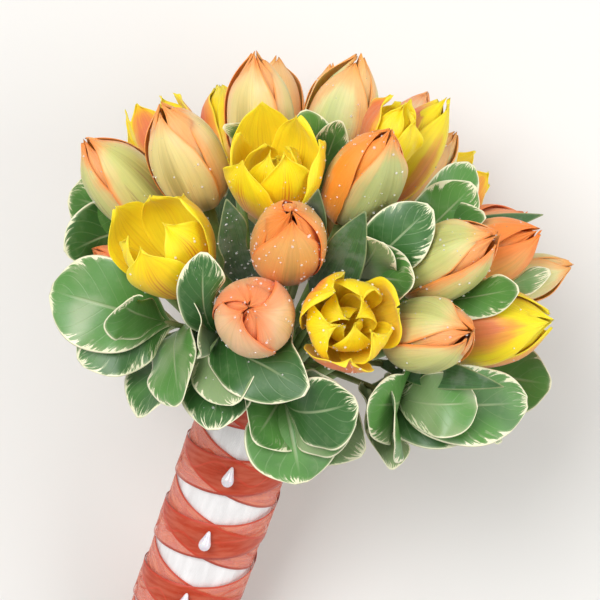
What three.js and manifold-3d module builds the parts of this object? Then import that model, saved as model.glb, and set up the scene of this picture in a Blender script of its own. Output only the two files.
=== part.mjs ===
// A hand-tied bunch of tulips lying on a table, show side up.
//
// Closed orange and olive tulip buds and open yellow tulips stand out like a dome from the place
// where the bunch is tied. Sprays of broad variegated leaves and a few tulip leaves fill the gaps
// and make a collar. Below the tie the stems are a straight bundle, wrapped in satin, criss-crossed
// with a sheer ribbon and pinned with pearl-headed pins. All lengths are millimetres.
//
// Each piece is first described in the bunch's own frame: the origin is where the stems cross,
// +Z runs up the middle of the flowers, and -Y is the side the pins are on. The last lines lay the
// bunch down, so that +Z is up off the table and the flowers point along +Y.

import * as THREE from 'three';
import { mergeVertices } from 'three/addons/utils/BufferGeometryUtils.js';
import Module from 'manifold-3d';

const wasm = await Module();
wasm.setup();

// ---------------------------------------------------------------- driving dimensions

const HEAD_RISE = 25; // degrees that the flower end is lifted by lying on its own leaves
const CLEARANCE = 0.35; // air left between two pieces that touch

const STEM_RADIUS = 3.1;
const STEM_SIDES = 5;
const STEM_START = 20; // just inside the knot, measured from where the stems cross

const BUNDLE_RADIUS = 23.6;
const BUNDLE_SIDES = 14; // shared by everything wound round the stems, so that the layers nest
const CUT_END = 214; // from the crossing down to the longest cut stem
const CUT_PITCH = 6.7; // spacing of the stems where their cut ends show
const CUT_RINGS = 3;
const CUT_SPREAD = 6; // the stems were trimmed by hand, so their ends differ by this much

const TIE_TOP = 1;
const TIE_BOTTOM = 17;
const TIE_THICKNESS = 0.9;

const SATIN_TOP = 20;
const SATIN_BOTTOM = 192;
const SATIN_THICKNESS = 1;

const RIBBON_WIDTH = 21;
const RIBBON_THICKNESS = 0.6;
const RIBBON_PITCH = 38;
const RIBBON_FIRST_CROSSING = 21; // where both ribbons first meet on the pinned side
const RIBBON_TURNS = 4.5;

const PIN_CROSSINGS = [1, 2, 3, 4]; // the pins sit at these ribbon crossings
const PEARL_LENGTH = 10.5;
const PEARL_RADIUS = 3;
const PIN_SHAFT_RADIUS = 0.6;
const PIN_SHAFT_LENGTH = 34;
const PIN_SLANT = 15;

const PETAL_THICKNESS = 0.9;
const LEAF_THICKNESS = 0.8;
const LEAF_STEP = 3.6; // between the feet of leaves along their twig
const LEAF_LIFT = -7; // by which each leaf of a spray bows behind the one before
const ROOM_SIDES = 9; // of the round spaces that leaves are cut back to
const TWIG_RADIUS = 1.6;
const TWIG_START = 20;
const TWIG_HOLE_END = 32; // past here the twigs and stems have fanned apart

// ---------------------------------------------------------------- the flowers
//
// Each flower: name, degrees down from the middle of the bunch, degrees round from the pinned side,
// kind, length, width, distance of its foot from the crossing, and own turn about its stem.

const FLOWERS = [
  ['apricot_a', 21, -86, 'bud', 58, 31, 90, 10],
  ['green_a', 44, -152, 'bud', 54, 27, 96, 40],
  ['peach_a', 56, -143, 'bud', 54, 29, 92, 75],
  ['flame_a', 61, -125, 'star', 54, 36, 90, 20],
  ['olive_a', 54, -71, 'bud', 57, 32, 88, 95],
  ['apricot_b', 39, -62, 'bud', 58, 33, 90, 20],
  ['yellow_a', 58, -37, 'cup', 52, 46, 82, 30],
  ['salmon_a', 72, -72, 'bud', 36, 20, 68, 0],
  ['yellow_b', 25, -34, 'double', 53, 45, 84, 0],
  ['orange_a', 40, -8, 'bud', 52, 32, 88, 50],
  ['orange_b', 58, -8, 'bud', 46, 34, 86, 0],
  ['yellow_c', 53, 17, 'double', 46, 44, 84, 45],
  ['green_b', 14, -164, 'bud', 60, 34, 86, 15],
  ['orange_c', 18, 19, 'bud', 56, 33, 90, 70],
  ['flame_b', 8, 111, 'star', 50, 28, 92, 80],
  ['peach_b', 41, 164, 'bud', 55, 27, 98, 30],
  ['flame_c', 22, 139, 'bud', 58, 28, 86, 75],
  ['green_c', 36, 145, 'bud', 50, 24, 88, 10],
  ['flame_d', 53, 146, 'star', 50, 34, 97, 50],
  ['orange_d', 41, 82, 'bud', 56, 31, 88, 65],
  ['salmon_b', 55, 128, 'bud', 56, 30, 88, 35],
  ['olive_b', 38, 56, 'bud', 58, 33, 86, 85],
  ['green_d', 54, 98, 'bud', 42, 23, 104, 25],
  ['flame_e', 56, 71, 'bud', 58, 36, 84, 0],
  ['olive_c', 54, 43, 'bud', 52, 33, 86, 55],
  ['green_e', 35, -165, 'bud', 46, 17, 98, 0],
  ['peach_c', 69, -162, 'bud', 52, 32, 84, 15],
  ['olive_d', 58, -176, 'bud', 54, 29, 90, 60],
  ['apricot_c', 71, 173, 'bud', 52, 32, 84, 35],
  ['orange_e', 71, 148, 'bud', 52, 32, 84, 80],
  ['apricot_d', 45, -176, 'bud', 48, 22, 92, 5],
  ['yellow_d', 70, 118, 'cup', 46, 36, 84, 10],
  ['orange_f', 68, -100, 'bud', 42, 29, 84, 45],
  ['peach_d', 57, 166, 'bud', 50, 25, 90, 20],
];

const PETAL_COLOURS = {
  apricot: 0xe9a878,
  green: 0xb9bf7d,
  peach: 0xf0b184,
  flame: 0xf2b51e,
  olive: 0xb4a45c,
  yellow: 0xf7cf12,
  orange: 0xee7f35,
  salmon: 0xee8e66,
};

// ---------------------------------------------------------------- the leaves
//
// Each spray is one woody twig out of the knot: its direction and length, then its leaves.
// Each leaf: where its tip is (degrees down, degrees round, distance), its width, and the way its
// face looks: up off the table, out from the crossing, or towards the middle of the flowers.

const SPRAYS = [
  ['left', 74, -44, 76, [
    [70, -37, 119, 25, 'up'], [80, -59, 121, 36, 'up'], [91, -47, 108, 28, 'up'],
    [89, -61, 110, 20, 'up'], [85, -17, 102, 28, 'out'], [97, -28, 96, 32, 'out'],
  ]],
  ['upper_left', 63, -88, 76, [
    [67, -79, 124, 30, 'up'], [76, -71, 113, 29, 'up'], [84, -90, 110, 30, 'flowers'],
    [98, -98, 108, 28, 'flowers'],
  ]],
  ['centre', 66, -22, 76, [
    [52, -25, 124, 19, 'up'], [64, -19, 112, 24, 'out'], [70, 11, 108, 30, 'out'],
    [79, -4, 100, 30, 'out'], [90, -8, 94, 32, 'out'],
  ]],
  ['bottom', 80, 10, 66, [
    [70, 22, 105, 27, 'out'], [75, 26, 102, 30, 'out'], [99, 20, 92, 36, 'out'],
    [90, 3, 90, 32, 'out'], [86, 34, 94, 32, 'out'],
  ]],
  ['bottom_right', 74, 53, 76, [
    [70, 57, 116, 25, 'up'], [72, 70, 128, 31, 'up'], [71, 28, 102, 28, 'out'],
    [80, 37, 106, 30, 'out'], [78, 62, 114, 30, 'out'], [92, 45, 94, 30, 'out'],
  ]],
  ['right', 47, 66, 78, [
    [48, 62, 138, 18, 'up'], [50, 86, 138, 16, 'up'],
  ]],
  ['front_right', 36, 27, 80, [
    [29, 42, 130, 24, 'up'], [37, 20, 126, 22, 'up'], [44, 33, 122, 26, 'up'],
  ]],
  ['upper_right', 29, 76, 80, [
    [26, 104, 130, 20, 'up'], [27, 82, 130, 24, 'up'], [33, 76, 128, 20, 'up'],
  ]],
  ['top', 6, -50, 80, [
    [13, -58, 127, 18, 'up'], [9, -20, 128, 15, 'up'], [30, -58, 128, 12, 'up'],
  ]],
  ['side_right', 78, 96, 78, [
    [73, 84, 132, 30, 'up'], [80, 104, 134, 31, 'flowers'], [92, 88, 116, 29, 'flowers'],
    [98, 108, 112, 28, 'flowers'],
  ]],
  ['under_left', 88, -148, 76, [
    [88, -155, 146, 30, 'up'], [82, -170, 150, 30, 'up'], [90, -128, 128, 30, 'flowers'],
  ]],
  ['under_right', 88, 148, 76, [
    [88, 155, 146, 30, 'up'], [82, 172, 150, 30, 'up'], [90, 128, 128, 30, 'flowers'],
  ]],
];

// A tulip leaf is long and pointed, and grows alone: name, direction and length of its folded
// stalk, then its tip, width and facing as above.
const TULIP_LEAVES = [
  ['front_left', 46, -22, 70, [43, -25, 138, 19, 'up']],
  ['front', 33, -2, 66, [34, -4, 140, 15, 'up']],
  ['front_right', 41, 12, 70, [33, 13, 132, 22, 'up']],
  ['low_right', 63, 50, 70, [65, 54, 134, 13, 'up']],
  ['high_right', 38, 110, 72, [45, 106, 142, 13, 'up']],
];

// ---------------------------------------------------------------- places and directions

const radians = THREE.MathUtils.degToRad;
const UP_OFF_TABLE = new THREE.Vector3(0, -Math.cos(radians(HEAD_RISE)), Math.sin(radians(HEAD_RISE)));
const TOWARDS_FLOWERS = new THREE.Vector3(0, 0, 1);

// Unit direction from the crossing: degrees down from the middle, degrees round from the pins.
function ray(down, round) {
  const a = radians(down);
  const b = radians(round);
  return new THREE.Vector3(Math.sin(a) * Math.sin(b), -Math.sin(a) * Math.cos(b), Math.cos(a));
}

// The same small irregular number, 0 to 1, for the same seed.
function vary(seed) {
  const wild = Math.sin(seed * 12.9898 + 4.137) * 43758.5453;
  return wild - Math.floor(wild);
}

function facing(name, place) {
  if (name === 'up') return UP_OFF_TABLE.clone();
  if (name === 'flowers') return TOWARDS_FLOWERS.clone();
  return place.clone().normalize();
}

// ---------------------------------------------------------------- solids

function geometryFrom(points, faces) {
  const geometry = new THREE.BufferGeometry();
  const numbers = points.flatMap((p) => [p.x, p.y, p.z]);
  geometry.setAttribute('position', new THREE.Float32BufferAttribute(numbers, 3));
  geometry.setIndex(faces.flat());
  return geometry;
}

function solidOf(geometry, matrix) {
  const bare = geometry.clone();
  bare.deleteAttribute('normal');
  bare.deleteAttribute('uv');
  if (matrix) bare.applyMatrix4(matrix);
  const merged = mergeVertices(bare, 1e-4);
  return new wasm.Manifold(new wasm.Mesh({
    numProp: 3,
    vertProperties: new Float32Array(merged.attributes.position.array),
    triVerts: new Uint32Array(merged.index.array),
  }));
}

function geometryOf(solid) {
  const mesh = solid.getMesh();
  const geometry = new THREE.BufferGeometry();
  geometry.setAttribute('position', new THREE.BufferAttribute(mesh.vertProperties, 3));
  geometry.setIndex(new THREE.BufferAttribute(mesh.triVerts, 1));
  return geometry;
}

function lowestAlong(position, direction) {
  const point = new THREE.Vector3();
  let lowest = Infinity;
  for (let i = 0; i < position.count; i += 1) {
    lowest = Math.min(lowest, point.fromBufferAttribute(position, i).dot(direction));
  }
  return lowest;
}

function fuse(solids) {
  return solids.reduce((whole, next) => whole.add(next));
}

function boxesMeet(a, b) {
  const p = a.boundingBox();
  const q = b.boundingBox();
  return [0, 1, 2].every((i) => p.min[i] < q.max[i] && q.min[i] < p.max[i]);
}

// Cuts back only where one of the others is near.
function cutBack(solid, others) {
  const near = others.filter((other) => boxesMeet(solid, other));
  return near.reduce((rest, other) => rest.subtract(other), solid);
}

// Drops the loose scraps that a cut leaves.
function largestPiece(solid) {
  return solid.decompose().reduce((best, next) => (next.volume() > best.volume() ? next : best));
}

// A rod from one point to another, as a solid in the bunch's frame.
function rod(from, to, startRadius, endRadius, sides = STEM_SIDES) {
  const along = to.clone().sub(from);
  const geometry = new THREE.CylinderGeometry(endRadius, startRadius, along.length(), sides, 1);
  const direction = along.clone().normalize();
  const turn = new THREE.Quaternion().setFromUnitVectors(new THREE.Vector3(0, 1, 0), direction);
  const middle = from.clone().add(to).multiplyScalar(0.5);
  return solidOf(geometry, new THREE.Matrix4().compose(middle, turn, new THREE.Vector3(1, 1, 1)));
}

// A closed shape of equal rings of points, bottom to top, with a point closing each end.
function ringedSolid(bottom, rings, top) {
  const count = rings[0].length;
  const points = [bottom, ...rings.flat(), top];
  const at = (ring, i) => 1 + ring * count + (i % count);
  const faces = [];
  for (let i = 0; i < count; i += 1) {
    faces.push([0, at(0, i + 1), at(0, i)]);
    faces.push([points.length - 1, at(rings.length - 1, i), at(rings.length - 1, i + 1)]);
    for (let ring = 0; ring + 1 < rings.length; ring += 1) {
      faces.push([at(ring, i), at(ring, i + 1), at(ring + 1, i + 1)]);
      faces.push([at(ring, i), at(ring + 1, i + 1), at(ring + 1, i)]);
    }
  }
  return geometryFrom(points, faces);
}

// A thin blade: rows of points across it, from foot to tip, given an even thickness. A row may be
// one point. Both faces are split into the same triangles.
function blade(rows, thickness) {
  const points = rows.flat();
  const starts = rows.map((row, k) => rows.slice(0, k).reduce((sum, r) => sum + r.length, 0));
  const skin = [];
  for (let k = 0; k + 1 < rows.length; k += 1) {
    const below = rows[k].length;
    const above = rows[k + 1].length;
    const p = starts[k];
    const q = starts[k + 1];
    for (let i = 0; i + 1 < Math.max(below, above); i += 1) {
      if (below > 1) skin.push([p + i, p + i + 1, above > 1 ? q + i + 1 : q]);
      if (above > 1) skin.push([below > 1 ? p + i : p, q + i + 1, q + i]);
    }
  }
  const middle = geometryFrom(points, skin);
  middle.computeVertexNormals();
  const normals = points.map((p, i) => new THREE.Vector3().fromBufferAttribute(middle.attributes.normal, i));
  const upper = points.map((p, i) => p.clone().addScaledVector(normals[i], thickness / 2));
  const lower = points.map((p, i) => p.clone().addScaledVector(normals[i], -thickness / 2));
  const left = starts.slice(1, -1);
  const right = rows.slice(1, -1).map((row, k) => starts[k + 1] + row.length - 1);
  const last = rows.length - 1;
  const foot = rows[0].map((p, i) => i);
  const tip = rows[last].map((p, i) => starts[last] + i);
  const rim = [...foot, ...right, ...tip.reverse(), ...left.reverse()];
  const count = points.length;
  const faces = [...skin, ...skin.map(([a, b, c]) => [count + a, count + c, count + b])];
  rim.forEach((a, i) => {
    const b = rim[(i + 1) % rim.length];
    faces.push([count + a, count + b, b]);
    faces.push([count + a, b, a]);
  });
  return geometryFrom([...upper, ...lower], faces);
}

// ---------------------------------------------------------------- tulip flowers

// Radius of a closed tulip, as a share of its widest, at a height from 0 (foot) to 1 (tip).
function eggShape(height) {
  return Math.sin(Math.PI * height ** 0.72) ** 0.62;
}

const BUD_RINGS = [
  // height, half-width of an outer petal in degrees, how deep the inner petals lie (share of width)
  { height: 0.11, half: 52, step: 0.05 },
  { height: 0.42, half: 51, step: 0.09 },
  { height: 0.78, half: 43, step: 0.12 },
];

// A closed tulip: three outer petals folded over three inner ones, whose tips show between them.
function budGeometry(length, width, seed) {
  const radius = width / 2;
  const edge = 3.5;
  const rings = BUD_RINGS.map(({ height, half, step }) => {
    const ring = [];
    for (let petal = 0; petal < 3; petal += 1) {
      const broad = half * (0.94 + 0.1 * vary(seed + petal));
      const outer = radius * eggShape(height) * (0.97 + 0.06 * vary(seed + petal + 3));
      const inner = outer - radius * step;
      const places = [
        [0, outer], [0.6 * broad, outer], [broad, outer + 0.2],
        [broad + edge, inner], [120 - broad - edge, inner],
        [120 - broad, outer + 0.2], [120 - 0.6 * broad, outer],
      ];
      for (const [angle, reach] of places) {
        const a = radians(120 * petal + angle);
        ring.push(new THREE.Vector3(reach * Math.cos(a), reach * Math.sin(a), length * height));
      }
    }
    return ring;
  });
  const tips = [];
  for (let petal = 0; petal < 3; petal += 1) {
    const tipHeight = length * (0.95 + 0.05 * vary(seed + petal + 6));
    const tipReach = radius * (0.2 + 0.12 * vary(seed + petal + 9));
    const places = [
      [0, tipReach, tipHeight], [9, tipReach, tipHeight - 0.4], [16, tipReach * 0.88, tipHeight - 1.1],
      [24, radius * 0.11, length * 0.92], [96, radius * 0.11, length * 0.92],
      [104, tipReach * 0.88, tipHeight - 1.1], [111, tipReach, tipHeight - 0.4],
    ];
    for (const [angle, reach, height] of places) {
      const a = radians(120 * petal + angle);
      tips.push(new THREE.Vector3(reach * Math.cos(a), reach * Math.sin(a), height));
    }
  }
  rings.push(tips);
  return ringedSolid(new THREE.Vector3(0, 0, 0), rings, new THREE.Vector3(0, 0, length * 0.9));
}

// How far out an open petal stands at a share of its length, and how broad it is there.
const OPEN_PETAL = [
  { along: 0.28, out: 0.72, half: 0.5 },
  { along: 0.56, out: 0.98, half: 0.66 },
  { along: 0.82, out: 1, half: 0.5 },
];

function openPetal(turn, layer, reach, length, breadth, flare, wave) {
  const place = (angle, out, height) => (
    new THREE.Vector3(out * Math.cos(angle), out * Math.sin(angle), height)
  );
  const centre = radians(turn);
  const rows = [[place(centre, 3 - 0.6 * layer, 1 + 2 * layer)]];
  for (const { along, out, half } of OPEN_PETAL) {
    const spread = flare * Math.max(0, along - 0.5);
    const distance = reach * out + spread;
    const angle = (breadth * half) / Math.max(out, 0.7);
    const height = length * along ** 1.08;
    rows.push([
      place(centre - angle, distance + 0.6, height + wave * along),
      place(centre, distance, height),
      place(centre + angle, distance + 0.6, height - wave * along),
    ]);
  }
  rows.push([place(centre, reach * 0.94 + flare * 0.5, length)]);
  return solidOf(blade(rows, PETAL_THICKNESS));
}

const OPEN_KINDS = {
  // for each petal, outer three first: turn, share of the width, share of the length, breadth in
  // radians and flare in millimetres
  cup: [
    [0, 1, 0.97, 1, 3], [120, 1, 1, 1, 5], [240, 1, 0.94, 1, 2],
    [60, 0.86, 0.98, 1, 2], [180, 0.86, 0.92, 1, 3], [300, 0.86, 0.99, 1, 1],
  ],
  star: [
    [0, 1, 0.98, 0.86, 7], [120, 1, 1, 0.86, 9], [240, 1, 0.92, 0.86, 6],
    [60, 0.84, 0.96, 0.86, 4], [180, 0.84, 1, 0.86, 5], [300, 0.84, 0.93, 0.86, 3],
  ],
  double: [
    [0, 1, 0.94, 0.9, 4], [120, 1, 1, 0.9, 2], [240, 1, 0.9, 0.9, 5],
    [60, 0.87, 0.98, 0.9, 1], [180, 0.87, 0.92, 0.9, 3], [300, 0.87, 0.97, 0.9, 0],
    [20, 0.6, 0.82, 1, -3], [140, 0.6, 0.78, 1, -2], [260, 0.6, 0.85, 1, -3],
  ],
};

// An open tulip: petals in two or three layers round the seed pod, on the top of the stem.
function openGeometry(kind, length, width, seed) {
  const reach = width / 2;
  const pod = new THREE.LatheGeometry([
    new THREE.Vector2(0, 0), new THREE.Vector2(5, 0.5),
    new THREE.Vector2(4.6, 8), new THREE.Vector2(0, length * 0.42),
  ], STEM_SIDES);
  const upright = new THREE.Matrix4().makeRotationX(Math.PI / 2);
  const petals = OPEN_KINDS[kind].map(([turn, out, tall, breadth, flare], i) => {
    const wave = 2 * (vary(seed + i) - 0.5);
    return openPetal(turn, Math.floor(i / 3), reach * out - 1, length * tall, breadth, flare * 0.7, wave);
  });
  return geometryOf(fuse([solidOf(pod, upright), ...petals]));
}

// The room a flower takes, as a plain round solid that leaves and twigs keep out of.
function roomRadius(kind, width, height) {
  if (kind === 'bud') return (width / 2) * 1.04 * Math.max(eggShape(height), height > 0.5 ? 0.34 : 0.2);
  const flared = kind === 'double' ? 2 : 4;
  return (width / 2) * Math.min(1, 0.3 + 2.2 * height) + flared * Math.max(0, height - 0.5);
}

function roomSolid(flower) {
  const profile = [0.02, 0.15, 0.38, 0.6, 0.8, 1].map((height) => new THREE.Vector2(
    (roomRadius(flower.kind, flower.width, height) + CLEARANCE) / Math.cos(Math.PI / ROOM_SIDES),
    flower.length * height,
  ));
  const ends = [new THREE.Vector2(0, -CLEARANCE), new THREE.Vector2(0, flower.length + CLEARANCE)];
  const lathe = new THREE.LatheGeometry([ends[0], ...profile, ends[1]], ROOM_SIDES);
  lathe.applyMatrix4(new THREE.Matrix4().makeRotationX(Math.PI / 2));
  return solidOf(lathe, flower.matrix);
}

const flowers = FLOWERS.map(([name, down, round, kind, length, width, foot, turn], seed) => {
  const axis = ray(down, round);
  const base = axis.clone().multiplyScalar(foot);
  const standing = new THREE.Quaternion().setFromUnitVectors(TOWARDS_FLOWERS, axis);
  const turning = new THREE.Quaternion().setFromAxisAngle(TOWARDS_FLOWERS, radians(turn));
  const rotation = standing.multiply(turning);
  const matrix = new THREE.Matrix4().compose(base, rotation, new THREE.Vector3(1, 1, 1));
  return { name, kind, length, width, base, axis, rotation, matrix, seed: 10 * seed };
});

// ---------------------------------------------------------------- the stems and what binds them

const knotProfile = [
  [0, -CUT_END + 16], [BUNDLE_RADIUS, -CUT_END + 16], [BUNDLE_RADIUS, 0],
  [20.4, 12], [12, 20.4], [0, BUNDLE_RADIUS],
].map(([x, y]) => new THREE.Vector2(x, y));
const uprightLathe = new THREE.Matrix4().makeRotationX(Math.PI / 2);

function cutStems() {
  const stems = [];
  for (let row = -CUT_RINGS; row <= CUT_RINGS; row += 1) {
    for (let place = -CUT_RINGS; place <= CUT_RINGS; place += 1) {
      if (Math.abs(row + place) > CUT_RINGS) continue;
      const x = CUT_PITCH * (place + row / 2);
      const y = CUT_PITCH * row * Math.sqrt(0.75);
      const end = CUT_END - CUT_SPREAD * vary(7 * row + 3 * place + 100);
      const lowest = Math.hypot(x, y - 3 * CUT_PITCH * Math.sqrt(0.75)) < 2 * CUT_PITCH;
      const bottom = new THREE.Vector3(x, y, lowest ? -CUT_END : -end);
      stems.push(rod(new THREE.Vector3(x, y, -CUT_END + 22), bottom, STEM_RADIUS, STEM_RADIUS));
    }
  }
  return stems;
}

const stemRods = flowers.map((flower) => {
  const direction = flower.base.clone().normalize();
  const start = direction.clone().multiplyScalar(STEM_START);
  const end = direction.clone().multiplyScalar(flower.base.length() - CLEARANCE);
  return { start, end };
});

const knot = solidOf(new THREE.LatheGeometry(knotProfile, BUNDLE_SIDES), uprightLathe);
const standingStems = stemRods.map(({ start, end }) => rod(start, end, 2.6, STEM_RADIUS));
const stemRoom = stemRods.map(({ start, end }) => rod(start, end, 2.6 + CLEARANCE, STEM_RADIUS + CLEARANCE));

function tube(inner, outer, top, bottom) {
  const profile = [[inner, -bottom], [outer, -bottom], [outer, -top], [inner, -top], [inner, -bottom]];
  const points = profile.map(([x, y]) => new THREE.Vector2(x, y));
  return solidOf(new THREE.LatheGeometry(points, BUNDLE_SIDES), uprightLathe);
}

const satinOuter = BUNDLE_RADIUS + CLEARANCE + SATIN_THICKNESS;
const underRibbon = satinOuter + CLEARANCE;
const overRibbon = underRibbon + RIBBON_THICKNESS + CLEARANCE;
const wrapOuter = overRibbon + RIBBON_THICKNESS;

// A flat ribbon wound round the satin. Its ends are cut level with the satin's.
function ribbon(inner, hand) {
  const steps = Math.round(RIBBON_TURNS * BUNDLE_SIDES);
  const rings = [];
  for (let step = 0; step <= steps; step += 1) {
    const turns = step / BUNDLE_SIDES;
    const angle = -Math.PI / 2 + hand * 2 * Math.PI * turns;
    const middle = RIBBON_FIRST_CROSSING + RIBBON_PITCH * turns;
    const top = Math.max(middle - RIBBON_WIDTH / 2, SATIN_TOP);
    const bottom = Math.min(middle + RIBBON_WIDTH / 2, SATIN_BOTTOM);
    const outer = inner + RIBBON_THICKNESS;
    const corners = [[inner, -bottom], [outer, -bottom], [outer, -top], [inner, -top]];
    rings.push(corners.map(([r, z]) => new THREE.Vector3(r * Math.cos(angle), r * Math.sin(angle), z)));
  }
  const faces = [[0, 1, 2], [0, 2, 3]];
  const end = 4 * steps;
  faces.push([end, end + 2, end + 1], [end, end + 3, end + 2]);
  for (let step = 0; step < steps; step += 1) {
    for (let side = 0; side < 4; side += 1) {
      const a = 4 * step + side;
      const b = 4 * step + ((side + 1) % 4);
      faces.push([a, b + 4, b], [a, a + 4, b + 4]);
    }
  }
  const wound = hand < 0 ? faces.map(([a, b, c]) => [a, c, b]) : faces;
  return solidOf(geometryFrom(rings.flat(), wound));
}

// A pearl-headed pin, head outside the ribbon and shaft slanting up into the stems.
function pinParts(crossing) {
  const below = RIBBON_FIRST_CROSSING + RIBBON_PITCH * crossing;
  const head = new THREE.Vector3(0, -(wrapOuter + CLEARANCE + PEARL_RADIUS), -below);
  const slant = new THREE.Vector3(0, Math.sin(radians(PIN_SLANT)), Math.cos(radians(PIN_SLANT)));
  const profile = [[0, -3], [2.1, -2.1], [3, 0], [2.4, 2.6], [1.3, 5.6], [0, PEARL_LENGTH - 3]];
  const drop = new THREE.LatheGeometry(profile.map(([x, y]) => new THREE.Vector2(x, y)), 8);
  const turn = new THREE.Quaternion().setFromUnitVectors(new THREE.Vector3(0, 1, 0), slant);
  const placed = new THREE.Matrix4().compose(head, turn, new THREE.Vector3(1, 1, 1));
  const neck = head.clone().addScaledVector(slant, PEARL_LENGTH - 5);
  const point = neck.clone().addScaledVector(slant, PIN_SHAFT_LENGTH);
  const air = PIN_SHAFT_RADIUS + CLEARANCE;
  return {
    pin: fuse([solidOf(drop, placed), rod(neck, point, PIN_SHAFT_RADIUS, PIN_SHAFT_RADIUS)]),
    hole: rod(head, point.clone().addScaledVector(slant, CLEARANCE), air, air),
  };
}

const pins = PIN_CROSSINGS.map(pinParts);
const pinHoles = pins.map(({ hole }) => hole);

// ---------------------------------------------------------------- keeping the leaves clear

// The table, as a height below the crossing: the bunch rests on its lowest cut stems.
const cutEnds = geometryOf(fuse(cutStems()));
const TABLE_DROP = -lowestAlong(cutEnds.attributes.position, UP_OFF_TABLE);

const obstacles = [
  ...flowers.map(({ kind, length, width, base, axis }) => ({
    foot: base,
    axis,
    length,
    radius: (share) => roomRadius(kind, width, share),
    openEnd: kind !== 'bud',
  })),
  ...stemRods.map(({ start, end }) => ({
    foot: start.clone().normalize().multiplyScalar(BUNDLE_RADIUS),
    axis: start.clone().normalize(),
    length: end.length() - BUNDLE_RADIUS,
    radius: () => STEM_RADIUS,
  })),
  {
    foot: new THREE.Vector3(0, 0, -CUT_END),
    axis: TOWARDS_FLOWERS,
    length: CUT_END,
    radius: () => wrapOuter + 1,
  },
];

// Moves a point of a leaf sideways out of every flower, stem and wrap, and up off the table.
function bendClear(point, gap) {
  const moved = point.clone();
  for (let pass = 0; pass < 4; pass += 1) {
    for (const { foot, axis, length, radius, openEnd } of obstacles) {
      const reach = moved.clone().sub(foot).dot(axis);
      if (openEnd && reach > length) continue;
      const along = THREE.MathUtils.clamp(reach, 0, length);
      const nearest = foot.clone().addScaledVector(axis, along);
      const away = moved.clone().sub(nearest);
      const needed = radius(along / length) + gap;
      if (away.length() < needed) moved.copy(nearest).addScaledVector(away.normalize(), needed);
    }
    const height = moved.dot(UP_OFF_TABLE) + TABLE_DROP;
    if (height < LEAF_THICKNESS / 2) moved.addScaledVector(UP_OFF_TABLE, LEAF_THICKNESS / 2 - height);
  }
  return moved;
}

// Share of the length and share of the full width, from foot to tip.
const BROAD_LEAF = [[0.24, 0.5], [0.54, 1], [0.83, 0.82]];
const LONG_LEAF = [[0.15, 0.55], [0.4, 1], [0.65, 0.86], [0.86, 0.46]];

// The rows of points of one leaf, from its foot on the twig to its tip.
function leafRows(foot, outward, leaf, layer, outline, seed, grow) {
  const [down, round, distance, width, face] = leaf;
  const tip = ray(down, round).multiplyScalar(distance);
  const span = tip.clone().sub(foot).length();
  const elbow = foot.clone().addScaledVector(outward, 0.42 * span);
  elbow.addScaledVector(facing(face, elbow), layer);
  const curve = new THREE.QuadraticBezierCurve3(foot, elbow, tip);
  const cup = 0.16 * (vary(seed) - 0.25) * width;
  const ripple = 0.12 * (vary(seed + 1) - 0.5) * width;
  const rows = [[foot.clone()]];
  outline.forEach(([share, broad], k) => {
    const place = curve.getPoint(share);
    const forward = curve.getTangent(share);
    const side = forward.clone().cross(facing(face, place)).normalize();
    const up = side.clone().cross(forward).normalize();
    const half = (width * broad) / 2 + grow;
    const lift = cup * broad;
    const wave = ripple * (k % 2 ? -1 : 1);
    rows.push([
      bendClear(place.clone().addScaledVector(side, -half).addScaledVector(up, lift + wave), 1.6),
      bendClear(place, 1.6),
      bendClear(place.clone().addScaledVector(side, half).addScaledVector(up, lift - wave), 1.6),
    ]);
  });
  const end = tip.clone().addScaledVector(curve.getTangent(1), grow);
  rows.push([bendClear(end, 1.6)]);
  return rows;
}

// Points of a lower face that lie on the table are set down flat on it.
function setDown(geometry) {
  const position = geometry.attributes.position;
  const point = new THREE.Vector3();
  for (let i = 0; i < position.count; i += 1) {
    point.fromBufferAttribute(position, i);
    const height = point.dot(UP_OFF_TABLE) + TABLE_DROP;
    if (height < 0.25) point.addScaledVector(UP_OFF_TABLE, -height);
    position.setXYZ(i, point.x, point.y, point.z);
  }
  return geometry;
}

const twigRoom = [];
const twigHoles = [];
const leafRoom = [];
const flowerRoom = flowers.map(roomSolid);

// One spray: the twig in its hole in the knot, with its leaves fused to its end.
function spray(down, round, reach, leaves, outline, seed) {
  const outward = ray(down, round);
  const start = outward.clone().multiplyScalar(TWIG_START);
  const end = outward.clone().multiplyScalar(reach);
  const feet = leaves.map((leaf, i) => outward.clone().multiplyScalar(reach - 1 - LEAF_STEP * i));
  const layers = leaves.map((leaf, i) => LEAF_LIFT * (i - (leaves.length - 1) / 2));
  const blades = leaves.map((leaf, i) => {
    const rows = leafRows(feet[i], outward, leaf, layers[i], outline, seed + 5 * i, 0);
    return solidOf(setDown(blade(rows, LEAF_THICKNESS)));
  });
  const room = leaves.map((leaf, i) => {
    const rows = leafRows(feet[i], outward, leaf, layers[i], outline, seed + 5 * i, 0.5);
    return solidOf(blade(rows, LEAF_THICKNESS + 2 * CLEARANCE));
  });
  const foliage = cutBack(fuse(blades), [...flowerRoom, ...stemRoom, ...leafRoom, ...twigRoom]);
  const twig = cutBack(rod(start, end, TWIG_RADIUS, TWIG_RADIUS * 0.8), leafRoom);
  const whole = largestPiece(fuse([twig, foliage]));
  const air = TWIG_RADIUS + CLEARANCE;
  const holeStart = outward.clone().multiplyScalar(TWIG_START - CLEARANCE);
  twigRoom.push(rod(holeStart, end.clone().addScaledVector(outward, CLEARANCE), air, air));
  twigHoles.push(rod(holeStart, outward.clone().multiplyScalar(TWIG_HOLE_END), air, air));
  leafRoom.push(...room);
  return whole;
}

// ---------------------------------------------------------------- the bunch

const bunch = new THREE.Group();

function finish(color, roughness, metalness = 0) {
  return new THREE.MeshStandardMaterial({ color, roughness, metalness });
}

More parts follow.
